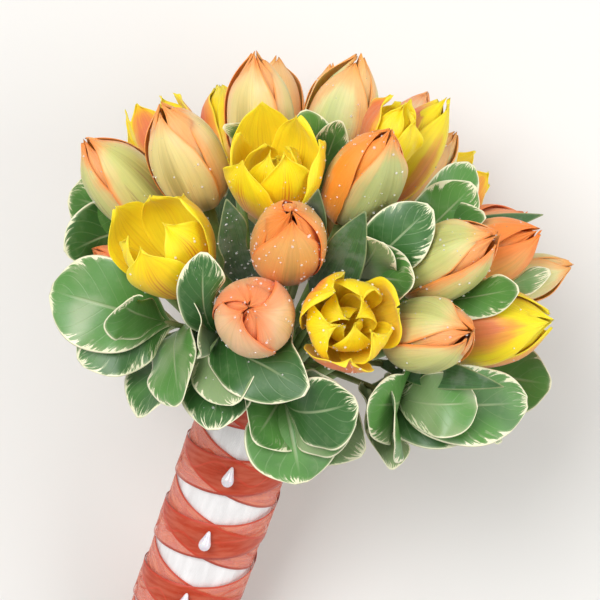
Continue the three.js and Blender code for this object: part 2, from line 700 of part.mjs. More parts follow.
function addPiece(name, solid, material) {
  const mesh = new THREE.Mesh(solid.isBufferGeometry ? solid : geometryOf(solid), material);
  mesh.name = name;
  bunch.add(mesh);
  return mesh;
}

flowers.forEach((flower) => {
  const geometry = flower.kind === 'bud'
    ? budGeometry(flower.length, flower.width, flower.seed)
    : openGeometry(flower.kind, flower.length, flower.width, flower.seed);
  const colour = PETAL_COLOURS[flower.name.split('_')[0]];
  const mesh = addPiece(`bloom_${flower.name}`, geometry, finish(colour, 0.55));
  mesh.position.copy(flower.base);
  mesh.quaternion.copy(flower.rotation);
});

TULIP_LEAVES.forEach(([name, down, round, reach, leaf], i) => {
  const solid = spray(down, round, reach, [leaf], LONG_LEAF, 900 + i);
  addPiece(`tulip_leaf_${name}`, solid, finish(0x5f8a5e, 0.5));
});

SPRAYS.forEach(([name, down, round, reach, leaves], i) => {
  const solid = spray(down, round, reach, leaves, BROAD_LEAF, 300 + 40 * i);
  addPiece(`spray_${name}`, solid, finish(0x4d7a45, 0.4));
});

const stems = cutBack(fuse([knot, ...cutStems(), ...standingStems]), [...twigHoles, ...pinHoles]);
addPiece('stem_bundle', largestPiece(stems), finish(0x86a060, 0.6));

const tieInner = BUNDLE_RADIUS + CLEARANCE;
const tape = tube(tieInner, tieInner + TIE_THICKNESS, TIE_TOP, TIE_BOTTOM);
addPiece('binding_tape', tape, finish(0x6f8f55, 0.7));

const satin = tube(tieInner, satinOuter, SATIN_TOP, SATIN_BOTTOM);
addPiece('satin_wrap', largestPiece(cutBack(satin, pinHoles)), finish(0xf2efe8, 0.35));

addPiece('ribbon_under', largestPiece(cutBack(ribbon(underRibbon, 1), pinHoles)), finish(0xe8551c, 0.45));
addPiece('ribbon_over', largestPiece(cutBack(ribbon(overRibbon, -1), pinHoles)), finish(0xe8551c, 0.45));

pins.forEach(({ pin }, i) => addPiece(`pearl_pin_${i + 1}`, pin, finish(0xf3eadb, 0.25)));

// Laid down: the flowers point along +Y, the pinned side is up, and the origin is on the table
// under the middle of the bunch.
bunch.rotation.x = radians(HEAD_RISE - 90);
bunch.updateMatrixWorld(true);
const extent = new THREE.Box3().setFromObject(bunch, true);
const centre = extent.getCenter(new THREE.Vector3());
bunch.position.set(-centre.x, -centre.y, -extent.min.z);

const tulips = new THREE.Group();
tulips.add(bunch);
export default tulips;
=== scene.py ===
"""A hand-tied bunch of tulips, lying on a pale table with its pinned side up.

Closed and open tulips stand out like a dome from the place where the bunch is tied. Sprays of
variegated leaves and a few tulip leaves fill the gaps. The stems are wrapped in satin, criss-crossed
with two sheer ribbons and pinned with pearl-headed pins. Pieces are worked out in the bunch's own
frame, in millimetres: the stems cross at the origin, +Z runs up the middle of the flowers and -Y is
the pinned side. Each piece is then laid on the table, in metres.
"""

import math
import random
from functools import partial

import bmesh
import bpy
import numpy as np
from bpy.props import FloatProperty, FloatVectorProperty, IntProperty, PointerProperty
from mathutils import Matrix, Vector, noise


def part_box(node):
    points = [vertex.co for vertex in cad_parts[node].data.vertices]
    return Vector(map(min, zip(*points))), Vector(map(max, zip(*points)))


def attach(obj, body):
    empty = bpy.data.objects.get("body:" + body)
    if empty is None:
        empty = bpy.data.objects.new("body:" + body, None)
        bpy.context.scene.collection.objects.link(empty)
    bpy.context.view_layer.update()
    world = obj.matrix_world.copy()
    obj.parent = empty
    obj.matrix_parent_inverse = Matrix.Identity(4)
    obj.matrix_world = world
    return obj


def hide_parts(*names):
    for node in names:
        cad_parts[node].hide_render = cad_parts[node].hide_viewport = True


bl_info = {
    "name": "Bunch of tulips",
    "version": (1, 0, 0),
    "blender": (4, 5, 0),
    "location": "3D View > Sidebar > Tulips",
    "description": "Builds a wrapped bunch of tulips piece by piece",
    "category": "Object",
}

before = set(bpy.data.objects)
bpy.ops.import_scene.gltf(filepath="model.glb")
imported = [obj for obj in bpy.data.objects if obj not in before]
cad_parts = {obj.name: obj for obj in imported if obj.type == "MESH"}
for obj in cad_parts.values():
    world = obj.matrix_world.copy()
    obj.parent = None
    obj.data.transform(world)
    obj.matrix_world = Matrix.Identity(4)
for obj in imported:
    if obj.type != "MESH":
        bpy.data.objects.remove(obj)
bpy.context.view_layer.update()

# ------------------------------------------------------------------ the bunch's own frame

MM = 0.001
HEAD_RISE = math.radians(25)  # how far the flowers are raised, with the cut ends on the table
UP_THE_BUNCH = Vector((0, math.cos(HEAD_RISE), math.sin(HEAD_RISE)))
SATIN_TOP, SATIN_BOTTOM = 20, 192  # below the crossing


def crossing_point():
    """Where the stems cross, in metres, from the middle of the satin wrap."""
    low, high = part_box("satin_wrap")
    middle = (Vector(low) + Vector(high)) / 2
    return middle + UP_THE_BUNCH * (SATIN_TOP + SATIN_BOTTOM) / 2 * MM


CROSSING = crossing_point()
TO_TABLE = (
    Matrix.Translation(CROSSING) @ Matrix.Rotation(HEAD_RISE - math.pi / 2, 4, "X") @ Matrix.Scale(MM, 4)
)
TABLE_DROP = CROSSING.z / MM
# Two directions in the bunch's own frame.
OFF_TABLE = Vector((0, -math.cos(HEAD_RISE), math.sin(HEAD_RISE)))
TOWARDS_FLOWERS = Vector((0, 0, 1))


def ray(down, around):
    """Unit direction from the crossing: degrees down from the middle, degrees round from the pins."""
    a, b = math.radians(down), math.radians(around)
    return Vector((math.sin(a) * math.sin(b), -math.sin(a) * math.cos(b), math.cos(a)))


def polar(out, angle, height):
    """A point at a distance out from the axis, an angle in radians round it, and a height."""
    return Vector((out * math.cos(angle), out * math.sin(angle), height))


def pointing(direction):
    """Turns what points up the bunch to point another way."""
    return TOWARDS_FLOWERS.rotation_difference(direction).to_matrix().to_4x4()


def vary(seed):
    """The same small irregular number, 0 to 1, for the same seed."""
    wild = math.sin(seed * 12.9898 + 4.137) * 43758.5453
    return wild - math.floor(wild)


def wobble(x, y, z):
    """A smooth irregular change from place to place, about -1 to 1."""
    return noise.noise(Vector((x, y, z)))


def ease(value, start, end):
    """0 before start, 1 after end, smooth between."""
    share = min(1.0, max(0.0, (value - start) / (end - start)))
    return share * share * (3 - 2 * share)


def along(table, share):
    """The value at a share of the length, on a smooth curve through rows of (share, value)."""
    k = max(0, min(len(table) - 2, sum(row[0] <= share for row in table) - 1))
    (a, low), (b, high) = table[k], table[k + 1]
    before, after = table[max(k - 1, 0)], table[min(k + 2, len(table) - 1)]
    t = min(1.0, max(0.0, (share - a) / (b - a)))
    start = (high - before[1]) / (b - before[0]) * (b - a)
    end = (after[1] - low) / (after[0] - a) * (b - a)
    return (
        (2 * t**3 - 3 * t**2 + 1) * low + (t**3 - 2 * t**2 + t) * start
        + (3 * t**2 - 2 * t**3) * high + (t**3 - t**2) * end
    )


# ------------------------------------------------------------------ where everything grows
#
# Each tulip: name, degrees down from the middle, degrees round from the pins, kind, length, width,
# distance of its foot from the crossing, own turn about its stem.

TULIPS = [
    ("apricot_a", 21, -86, "bud", 58, 31, 90, 10),
    ("green_a", 44, -152, "bud", 54, 27, 96, 40),
    ("peach_a", 56, -143, "bud", 54, 29, 92, 75),
    ("flame_a", 61, -125, "star", 54, 36, 90, 20),
    ("olive_a", 54, -71, "bud", 57, 32, 88, 95),
    ("apricot_b", 39, -62, "bud", 58, 33, 90, 20),
    ("yellow_a", 58, -37, "cup", 52, 46, 82, 30),
    ("salmon_a", 72, -72, "bud", 36, 20, 68, 0),
    ("yellow_b", 25, -34, "double", 53, 45, 84, 0),
    ("orange_a", 40, -8, "bud", 52, 32, 88, 50),
    ("orange_b", 58, -8, "bud", 46, 34, 86, 0),
    ("yellow_c", 53, 17, "double", 46, 44, 84, 45),
    ("green_b", 14, -164, "bud", 60, 34, 86, 15),
    ("orange_c", 18, 19, "bud", 56, 33, 90, 70),
    ("flame_b", 8, 111, "star", 50, 28, 92, 80),
    ("peach_b", 41, 164, "bud", 55, 27, 98, 30),
    ("flame_c", 22, 139, "bud", 58, 28, 86, 75),
    ("green_c", 36, 145, "bud", 50, 24, 88, 10),
    ("flame_d", 53, 146, "star", 50, 34, 97, 50),
    ("orange_d", 41, 82, "bud", 56, 31, 88, 65),
    ("salmon_b", 55, 128, "bud", 56, 30, 88, 35),
    ("olive_b", 38, 56, "bud", 58, 33, 86, 85),
    ("green_d", 54, 98, "bud", 42, 23, 104, 25),
    ("flame_e", 56, 71, "bud", 58, 36, 84, 0),
    ("olive_c", 54, 43, "bud", 52, 33, 86, 55),
    ("green_e", 35, -165, "bud", 46, 17, 98, 0),
    ("peach_c", 69, -162, "bud", 52, 32, 84, 15),
    ("olive_d", 58, -176, "bud", 54, 29, 90, 60),
    ("apricot_c", 71, 173, "bud", 52, 32, 84, 35),
    ("orange_e", 71, 148, "bud", 52, 32, 84, 80),
    ("apricot_d", 45, -176, "bud", 48, 22, 92, 5),
    ("yellow_d", 70, 118, "cup", 46, 36, 84, 10),
    ("orange_f", 68, -100, "bud", 42, 29, 84, 45),
    ("peach_d", 57, 166, "bud", 50, 25, 90, 20),
]

# How flushed with orange each petal of a tulip is, 0 to 1: the outer three, then the inner three.
# A tulip that isn't here takes irregular values of its own.
FLUSH = {
    "apricot_a": (0.15, 0.45, 0.3, 0.8, 0.75, 0.85),
    "apricot_b": (0.35, 0.55, 0.1, 0.8, 0.7, 0.9),
    "olive_a": (0.1, 0.25, 0.2, 0.8, 0.9, 0.8),
    "olive_b": (0.25, 0.1, 0.3, 0.85, 0.9, 0.8),
    "olive_c": (0.1, 0.25, 0.15, 0.8, 0.8, 0.9),
    "orange_a": (0.1, 0.4, 0.0, 0.9, 0.8, 0.9),
    "orange_b": (0.3, 0.7, 0.1, 1.0, 1.0, 1.0),
    "orange_c": (0.0, 1.0, 0.1, 0.9, 0.95, 0.85),
    "green_b": (0.5, 0.1, 0.62, 0.9, 0.15, 0.8),
    "flame_b": (0.8, 0.0, 0.9, 1.0, 0.9, 1.0),
    "flame_c": (0.9, 0.0, 0.85, 1.0, 1.0, 1.0),
    "peach_a": (0.2, 0.1, 0.3, 0.9, 0.9, 0.9),
    "flame_e": (0.15, 0.4, 0.7, 1.0, 1.0, 1.0),
    "yellow_c": (0.2, 0.6, 0.1, 0.9, 1.0, 0.8, 1.0, 0.9, 1.0, 1.0, 0.8, 1.0),
}

# Each spray: name, the direction and length of its twig, then its leaves. Each leaf: where its tip
# is (degrees down, degrees round, distance), its width, and what its face looks at.
SPRAYS = [
    ("left", 74, -44, 76, [
        (70, -37, 119, 25, "up"), (80, -59, 121, 36, "up"), (91, -47, 108, 28, "up"),
        (89, -61, 110, 20, "up"), (85, -17, 102, 28, "out"), (97, -28, 96, 32, "out"),
    ]),
    ("upper_left", 63, -88, 76, [
        (67, -79, 124, 30, "up"), (76, -71, 113, 29, "up"), (84, -90, 110, 30, "flowers"),
        (98, -98, 108, 28, "flowers"),
    ]),
    ("centre", 66, -22, 76, [
        (52, -25, 124, 19, "up"), (64, -19, 112, 24, "out"), (70, 11, 108, 30, "out"),
        (79, -4, 100, 30, "out"), (90, -8, 94, 32, "out"),
    ]),
    ("bottom", 80, 10, 66, [
        (70, 24, 106, 30, "out"), (75, 26, 102, 34, "out"), (99, 20, 92, 36, "out"),
        (90, 3, 90, 32, "out"), (86, 34, 94, 32, "out"),
    ]),
    ("bottom_right", 74, 53, 76, [
        (70, 57, 116, 25, "up"), (72, 70, 128, 31, "up"), (71, 28, 102, 31, "out"),
        (80, 37, 106, 34, "out"), (78, 62, 114, 30, "out"), (92, 45, 94, 30, "out"),
    ]),
    ("right", 47, 66, 78, [
        (48, 62, 138, 18, "up"), (50, 86, 138, 16, "up"),
    ]),
    ("front_right", 36, 27, 80, [
        (29, 42, 130, 24, "up"), (37, 20, 126, 22, "up"), (44, 33, 122, 26, "up"),
    ]),
    ("upper_right", 29, 76, 80, [
        (26, 104, 130, 20, "up"), (27, 82, 130, 24, "up"), (33, 76, 128, 20, "up"),
    ]),
    ("top", 6, -50, 80, [
        (13, -58, 127, 18, "up"), (9, -20, 128, 15, "up"), (30, -58, 128, 12, "up"),
    ]),
    ("side_right", 78, 96, 78, [
        (73, 84, 132, 30, "up"), (80, 104, 134, 31, "flowers"), (92, 88, 116, 29, "flowers"),
        (98, 108, 112, 28, "flowers"),
    ]),
    ("under_left", 88, -148, 76, [
        (88, -155, 146, 30, "up"), (82, -170, 150, 30, "up"), (90, -128, 128, 30, "flowers"),
    ]),
    ("under_right", 88, 148, 76, [
        (88, 155, 146, 30, "up"), (82, 172, 150, 30, "up"), (90, 128, 128, 30, "flowers"),
    ]),
]

# Each tulip leaf: name, direction and length of its folded stalk, then its blade as above.
TULIP_LEAVES = [
    ("front_left", 46, -22, 70, (43, -25, 138, 19, "up")),
    ("front", 33, -2, 66, (34, -4, 140, 15, "up")),
    ("front_right", 41, 12, 70, (33, 13, 132, 22, "up")),
    ("low_right", 63, 50, 70, (65, 54, 134, 13, "up")),
    ("high_right", 38, 110, 72, (45, 106, 142, 13, "up")),
]

LEAF_STEP = 3.6  # between the feet of a spray's leaves, down its twig
LEAF_LIFT = -7  # between its leaves half way along, so that they lie over one another
LEAF_FACES = (9, 22)  # across a leaf and from its foot to its tip
LEAF_SEED, LONG_LEAF_SEED = 300, 900
FIRST_GAP, LAST_GAP = 1.5, 1.0  # from a leaf to a flower, before and after it is smoothed
SOFTENED = 2  # times a bent leaf is smoothed
OVER_TABLE = 0.4  # from the table to the lowest leaves
# Share of the length and share of the full width, from foot to tip.
BROAD_LEAF = [
    (0, 0.07), (0.08, 0.13), (0.22, 0.5), (0.4, 0.9), (0.58, 1.08), (0.75, 1.08), (0.88, 0.86),
    (0.96, 0.52), (1, 0.14),
]
LONG_LEAF = [(0, 0.2), (0.15, 0.55), (0.4, 1), (0.65, 0.86), (0.86, 0.46), (0.96, 0.16), (1, 0.03)]

# The stems, the twigs and the tie.
STEM_RADIUS = 3.1
FLOWER_STEM_RADIUS = 2.7
STEMS_APART = 20.4  # how far from the middle the outermost flower stems leave the tie
STEMS_DEEP = 26  # how far below the crossing they start
TWIG_RADIUS = 1.6
KNOT_RADIUS = 23.6
TIE_TOP, TIE_BOTTOM = 1, 17
CUT_TOP, CUT_END = 24, 214  # where the straight stems start and end
CUT_SPREAD = 6  # how much shorter some are cut
CUT_PITCH = 6.7  # from one to the next in a row
ROW_PITCH = CUT_PITCH * math.sqrt(0.75)
CUT_RINGS = 3  # round the one in the middle

# The wrap, the ribbons and the pins.
SATIN_RADIUS = 24.6
SATIN_LAP = 8
# Each ribbon: piece, solid that it stands for, the way it winds, and its radius.
RIBBONS = [("ribbon_inner", "ribbon_under", 1, 25.6), ("ribbon_outer", "ribbon_over", -1, 26.55)]
WRAP_RADIUS = 26.85
RIBBON_WIDTH = 21
RIBBON_PITCH = 38
RIBBON_FIRST_CROSSING = 21
RIBBON_TURNS = 4.5
PIN_CROSSINGS = (1, 2, 3, 4)
PEARL_RADIUS = 3
PIN_SLANT = math.radians(15)
# Half the outline of a drop-shaped pearl: distance from its middle line and height.
PEARL_OUTLINE = [
    (0, -3), (1.3, -2.75), (2.3, -1.95), (2.9, -0.8), (3, 0.4), (2.7, 1.7), (2.1, 3.2), (1.5, 4.8),
    (1.05, 6.2), (0.6, 7.1), (0, 7.4),
]
# The shaft's direction from the head, its length and its radius at the head and at the point.
SHAFT_WAY = Vector((0, 0.88, 0.47))
SHAFT_LENGTH, SHAFT_RADIUS, SHAFT_POINT = 22, 0.6, 0.3

# How far the table reaches from the middle, and how far below the leaves it lies, in metres.
TABLE_REACH, TABLE_BELOW = 3, 0.0005
# The photograph's camera: how far it is turned, its lens and how far it is moved aside, in metres.
CAMERA_TURN = math.radians(19.9)
CAMERA_LENS = 113.4
CAMERA_RIGHT, CAMERA_UP = 0.0119, 0.0238
# Each lamp's place and size, in metres. They look at a point a little above the crossing.
MAIN_LIGHT = ((-0.55, 0.25, 1.3), 0.7)
SIDE_LIGHT = ((0.9, 0.2, 0.8), 0.9)

# ------------------------------------------------------------------ finishes


def colour(name):
    """Scene colour of a web colour name such as #f0a030."""
    shares = [int(name[i : i + 2], 16) / 255 for i in (1, 3, 5)]
    return (*(s / 12.92 if s <= 0.04045 else ((s + 0.055) / 1.055) ** 2.4 for s in shares), 1.0)


def tinted(shade, times, plus=(0, 0, 0)):
    """A colour with its red, green and blue each multiplied and added to."""
    return (*(min(1.0, c * t + p) for c, t, p in zip(shade, times, plus)), 1.0)


def dimmed(shade, share):
    """A colour with a share of its light."""
    return tinted(shade, (share, share, share))


class Field:
    """A value that differs from place to place on a surface. Sums with it are written as usual."""

    def __init__(self, finish, socket):
        self.finish = finish
        self.socket = socket

    def __add__(self, other):
        return self.finish.step("ADD", self, other)

    def __radd__(self, other):
        return self.finish.step("ADD", other, self)

    def __sub__(self, other):
        return self.finish.step("SUBTRACT", self, other)

    def __rsub__(self, other):
        return self.finish.step("SUBTRACT", other, self)

    def __mul__(self, other):
        return self.finish.step("MULTIPLY", self, other)

    def __abs__(self):
        return self.finish.step("ABSOLUTE", self)

    def fraction(self):
        """What is left over a whole number."""
        return self.finish.step("FRACT", self)

    def or_more(self, other):
        """The larger of the two."""
        return self.finish.step("MAXIMUM", self, other)

    def clamped(self):
        """The same value, held between 0 and 1."""
        self.socket.node.use_clamp = True
        return self

    def rise(self, start, end):
        """0 below start, 1 above end, smooth between."""
        inputs = {"Value": self, "From Min": start, "From Max": end}
        return self.finish.field("ShaderNodeMapRange", inputs, interpolation_type="SMOOTHSTEP")

    def fall(self, start, end):
        """1 below start, 0 above end, smooth between."""
        return 1.0 - self.rise(start, end)


class Finish:
    """A material being put together. Each method adds what it needs to the material's nodes."""

    def __init__(self, name):
        self.material = bpy.data.materials.new(name)
        self.material.use_nodes = True
        self.tree = self.material.node_tree
        self.tree.nodes.clear()

    def node(self, kind, inputs, settings):
        """Adds a node, sets it up, and links or fills its inputs."""
        node = self.tree.nodes.new(kind)
        for key, value in settings.items():
            setattr(node, key, value)
        for key, value in inputs.items():
            if isinstance(value, Field):
                self.tree.links.new(value.socket, node.inputs[key])
            else:
                node.inputs[key].default_value = value
        return node

    def field(self, kind, inputs, output=0, **settings):
        """Adds a node and gives back what comes out of it."""
        return Field(self, self.node(kind, inputs, settings).outputs[output])

    def step(self, operation, first, second=0.0):
        """One step of arithmetic."""
        return self.field("ShaderNodeMath", {0: first, 1: second}, operation=operation)

    def place(self):
        """The place in the scene, in metres."""
        return self.field("ShaderNodeTexCoord", {}, "Object")

    def blade(self):
        """The place on a blade, flattened: across and along, each 0 to 1."""
        return self.field("ShaderNodeUVMap", {}, uv_map="blade")

    def blade_parts(self):
        """The place across a blade and the place along it, each 0 to 1."""
        parts = self.node("ShaderNodeSeparateXYZ", {0: self.blade()}, {})
        return Field(self, parts.outputs[0]), Field(self, parts.outputs[1])

    def attribute(self, name):
        """What the mesh says at each place."""
        return self.field("ShaderNodeAttribute", {}, "Fac", attribute_name=name)

    def vector(self, first, second, third):
        """Three numbers as one place."""
        return self.field("ShaderNodeCombineXYZ", {0: first, 1: second, 2: third})

    def speckle(self, vector, scale, detail=2.0, roughness=0.5):
        """Soft irregular noise, mostly 0.3 to 0.7."""
        inputs = {"Vector": vector, "Scale": scale, "Detail": detail, "Roughness": roughness}
        return self.field("ShaderNodeTexNoise", inputs)

    def threads(self, vector, scale, wander, detail, direction):
        """Fine parallel lines."""
        inputs = {"Vector": vector, "Scale": scale, "Distortion": wander, "Detail": detail}
        return self.field("ShaderNodeTexWave", inputs, "Fac", bands_direction=direction)

    def blend(self, share, first, second, how="MIX"):
        """Mixes two colours."""
        inputs = {0: share, 6: first, 7: second}
        return self.field("ShaderNodeMix", inputs, 2, data_type="RGBA", blend_type=how)

    def surface(self, shade, roughness, bump=None, bump_depth=0.0002, **others):
        """The surface itself, with its relief and its other qualities. Gives the finished material back."""
        inputs = {"Base Color": shade, "Roughness": roughness}
        if bump is not None:
            relief = {"Height": bump, "Distance": bump_depth, "Strength": 1.0}
            inputs["Normal"] = self.field("ShaderNodeBump", relief)
        inputs.update({key.replace("_", " "): value for key, value in others.items()})
        shaded = self.field("ShaderNodeBsdfPrincipled", inputs)
        self.node("ShaderNodeOutputMaterial", {"Surface": shaded}, {})
        return self.material


PETAL_COLOURS = {
    # back, between, margin, seam along the very edge, foot, tip, veins
    "apricot": ("#ebd089", "#f4c88c", "#f9aa6a", "#ff9a48", "#8d8444", "#fb9440", "#a5784e"),
    "green": ("#d0d48a", "#e8da9a", "#f8bb7c", "#ff9c48", "#83925a", "#fb9e40", "#8a6474"),
    "peach": ("#efd294", "#f6c394", "#f8a87a", "#fd9650", "#aa9a5a", "#fb9c50", "#b97e52"),
    "flame": ("#e27a48", "#f0a038", "#fbd612", "#fde02a", "#c04e2a", "#fde11c", "#bc5434"),
    "olive": ("#cac87a", "#dec884", "#f7a262", "#fd8c3c", "#757c3e", "#fa8636", "#7e5248"),
    "two_tone": ("#b4b876", "#dcb878", "#fb9434", "#ff8a30", "#7d8144", "#fb8630", "#86584a"),
    "yellow": ("#fbc908", "#fcd30c", "#ffdf14", "#ffe22e", "#e58a10", "#ffe018", "#d67c10"),
    "orange": ("#eaa55c", "#f69c54", "#fa8a3c", "#ff8232", "#a89450", "#fc8630", "#c06c3c"),
    "salmon": ("#f6bc8c", "#f8a474", "#f88e5c", "#fc7e3c", "#c2aa6c", "#fa8a48", "#c8744e"),
}
# How far the colour of the foot climbs, as a share of the length, and how strongly the veins show.
FOOT_CLIMBS = {"yellow": 0.62, "flame": 0.6}
VEIN_DEPTHS = {"olive": 0.6, "green": 0.5, "yellow": 0.45, "flame": 0.4}
# The two lines beside the midrib of a yellow petal: how far off it, how fine and how strong.
YELLOW_RIBS = ((0.032, 0.02, 0.85), (0.075, 0.014, 0.5))


def petal_finish(word, inside):
    """A tulip petal: greenish back, flushed margins, a vivid seam and fine veins from foot to tip."""
    back, between, margin, seam, foot, tip, veins = (colour(c) for c in PETAL_COLOURS[word])
    ribless = word in ("yellow", "flame")
    finish = Finish(f"petal_{word}_{'inside' if inside else 'outside'}")
    across, up = finish.blade_parts()
    edge, flush = finish.attribute("edge"), finish.attribute("flush")
    place = finish.place()
    lanes = finish.vector(across * 26.0, up * 1.5, flush * 37.0)
    streak = finish.speckle(lanes, 1.0, 3.0, 0.6)
    wide_lanes = finish.field("ShaderNodeVectorMath", {0: lanes, 3: 0.28}, operation="SCALE")
    broad_streak = finish.speckle(wide_lanes, 1.0)
    clouds = finish.speckle(place, 90.0)

    inward = edge + (broad_streak - 0.5) * 9.0 + (clouds - 0.5) * 6.0 - (flush - 0.3) * 15.0
    shade = finish.blend(inward.rise(0.0, 5.0), margin, between)
    shade = finish.blend(inward.rise(4.0, 10.0), shade, back)
    low = up + (broad_streak - 0.5) * 0.5 + abs(across - 0.5) * 0.25
    shade = finish.blend(low.fall(0.05, FOOT_CLIMBS.get(word, 0.46)), shade, foot)
    middle = abs(across - 0.5)
    if not ribless:
        rib = (middle + (streak - 0.5) * 0.3).fall(0.02, 0.17) * up.fall(0.45, 0.98)
        shade = finish.blend((rib * (0.75 - flush * 0.6)).clamped(), shade, foot)
    shade = finish.blend(up.rise(0.84, 1.0) * 0.7, shade, tip)
    vein = streak.rise(0.56, 0.72) * up.fall(0.55, 0.95)
    shade = finish.blend(vein * VEIN_DEPTHS.get(word, 0.35), shade, veins)
    if word == "yellow":
        for aside, fine, depth in YELLOW_RIBS:
            ribs = abs(middle - aside).fall(0.003, fine) * up.fall(0.5, 0.92)
            shade = finish.blend(ribs * depth, shade, veins)
    shade = finish.blend(edge.fall(0.15, 1.3) * 0.7, shade, seam)
    if inside:
        shade = finish.blend(0.7, shade, seam if ribless else finish.blend(0.5, seam, between))
    light = 0.8 + streak * 0.4
    grey = finish.field("ShaderNodeCombineColor", {0: light, 1: light, 2: light})
    shade = finish.blend(1.0, shade, grey, "MULTIPLY")
    return finish.surface(
        shade, 0.36 + clouds * 0.24, streak, 0.00025, Subsurface_Weight=0.35,
        Subsurface_Radius=(1.0, 0.55, 0.25), Subsurface_Scale=0.003, Sheen_Weight=0.12,
        Sheen_Roughness=0.4, Specular_IOR_Level=0.45,
    )


def leaf_finish(name, green, cream, underside):
    """A broad waxy leaf: green with grey-green patches and ragged cream margins."""
    finish = Finish(name)
    across, up = finish.blade_parts()
    edge, tone = finish.attribute("edge"), finish.attribute("flush")
    place = finish.place()
    middle = abs(across - 0.5)
    lean = up - middle * 0.6
    ragged = finish.speckle(finish.vector(across * 5.0, lean * 30.0, tone * 53.0), 1.0, 3.0, 0.6)
    large = finish.speckle(place, 48.0, 1.0)
    patches = finish.speckle(place, 150.0, 3.0, 0.6)

    teeth = ragged.rise(0.42, 0.72) * 5.0
    blotched = (large + up * 0.18).rise(0.56, 0.72)
    reach = 0.35 + teeth * blotched
    pale = (edge - reach).fall(-0.15, 0.3)
    grey = (edge - reach * 1.5).fall(0.1, 1.6) * 0.6
    grey = grey.or_more(patches.rise(0.52, 0.7) * 0.12)
    greyed = tinted(green, (0.6, 0.6, 0.6), [0.3 * c for c in cream])
    mood = tone + (large - 0.5) * 0.8
    shade = finish.blend(mood.rise(0.15, 0.55), tinted(green, (0.4, 0.5, 0.5)), green)
    shade = finish.blend(mood.rise(0.66, 0.9) * 0.75, shade, greyed)
    shade = finish.blend(grey, shade, greyed)
    shade = finish.blend(pale, shade, cream)
    side_veins = abs((lean * 9.0).fraction() - 0.5).fall(0.0, 0.07)
    midrib = middle.fall(0.006, 0.026) * up.fall(0.7, 0.98)
    lines = (side_veins * 0.14).or_more(midrib * 0.65)
    shade = finish.blend(lines, shade, finish.blend(0.4, green, cream))
    if underside:
        shade = finish.blend(0.45, shade, colour("#a9b79a"))
    roughness = (0.5 if underside else 0.3) + patches * 0.2
    return finish.surface(
        shade, roughness, patches * 0.5 - lines, 0.0003, Subsurface_Weight=0.08,
        Subsurface_Radius=(0.4, 1.0, 0.2), Subsurface_Scale=0.001, Specular_IOR_Level=0.5,
        Coat_Weight=0.0 if underside else 0.08, Coat_Roughness=0.25,
    )


def long_leaf_finish(name, green, underside):
    """A tulip leaf: blue-green with a waxy bloom and veins that run its whole length."""
    finish = Finish(name)
    across, up = finish.blade_parts()
    edge, place = finish.attribute("edge"), finish.place()
    streak = finish.speckle(finish.vector(across * 38.0, up, 0.0), 1.0)
    bloom = finish.speckle(place, 160.0, 3.0)
    light = tinted(green, (0.55, 0.55, 0.55), (0.16, 0.16, 0.16))
    shade = finish.blend(streak.rise(0.38, 0.66), dimmed(green, 0.7), green)
    shade = finish.blend(bloom.rise(0.42, 0.68) * 0.5, shade, light)
    shade = finish.blend(edge.fall(0.1, 0.8) * 0.5, shade, colour("#b7bd86"))
    if underside:
        shade = finish.blend(0.3, shade, light)
    return finish.surface(
        shade, 0.4 + bloom * 0.25, streak, 0.0003, Sheen_Weight=0.15, Specular_IOR_Level=0.45
    )


def stem_finish(name, green, other, scale=260.0):
    """A smooth green stem, a twig or a pale cut end, clouded and flecked."""
    finish = Finish(name)
    place = finish.place()
    flecks = finish.speckle(place, scale, 3.0)
    clouds = finish.speckle(place, 45.0)
    shade = finish.blend(clouds.rise(0.35, 0.65), green, other)
    shade = finish.blend(flecks.rise(0.5, 0.75) * 0.35, shade, colour("#5e7436"))
    return finish.surface(shade, 0.4 + flecks * 0.2, flecks)


def tape_finish():
    """Stretchy green tape with fine crimps round the stems."""
    finish = Finish("tape")
    blade, place = finish.blade(), finish.place()
    crimps = finish.threads(blade, 60.0, 2.0, 2.0, "X")
    clouds = finish.speckle(place, 120.0)
    shade = finish.blend(clouds.rise(0.35, 0.65), colour("#4d6b36"), colour("#6f8c4e"))
    shade = finish.blend(crimps * 0.25, shade, colour("#90a468"))
    return finish.surface(shade, 0.55 + clouds * 0.2, crimps, 0.0003)


def satin_finish(white):
    """White satin with a fine twill, soft creases with painted shade in their hollows, and a sheen along the
    weave.
    """
    finish = Finish("satin")
    blade, place = finish.blade(), finish.place()
    twill = finish.threads(blade, 90.0, 0.6, 1.0, "DIAGONAL")
    slack = finish.field(
        "ShaderNodeMapping", {"Vector": blade, "Rotation": (0, 0, 0.6), "Scale": (26.0, 5.0, 1.0)}
    )
    crease_relief_and_shade = finish.speckle(slack, 1.0, 3.0, 0.55)
    clouds = finish.speckle(place, 60.0)
    # Painted shade: the white is dimmed to 0.86 where the crease relief is low, in the hollows of the
    # creases.
    shade = finish.blend(crease_relief_and_shade.rise(0.35, 0.7), dimmed(white, 0.86), white)
    shade = finish.blend(twill * 0.06, shade, colour("#b9b2a6"))
    relief = twill * 0.05 + crease_relief_and_shade
    return finish.surface(
        shade, 0.3 + clouds * 0.16, relief, 0.0011,
        Sheen_Weight=0.35, Sheen_Roughness=0.3, Specular_IOR_Level=0.55, Anisotropic=0.4,
    )


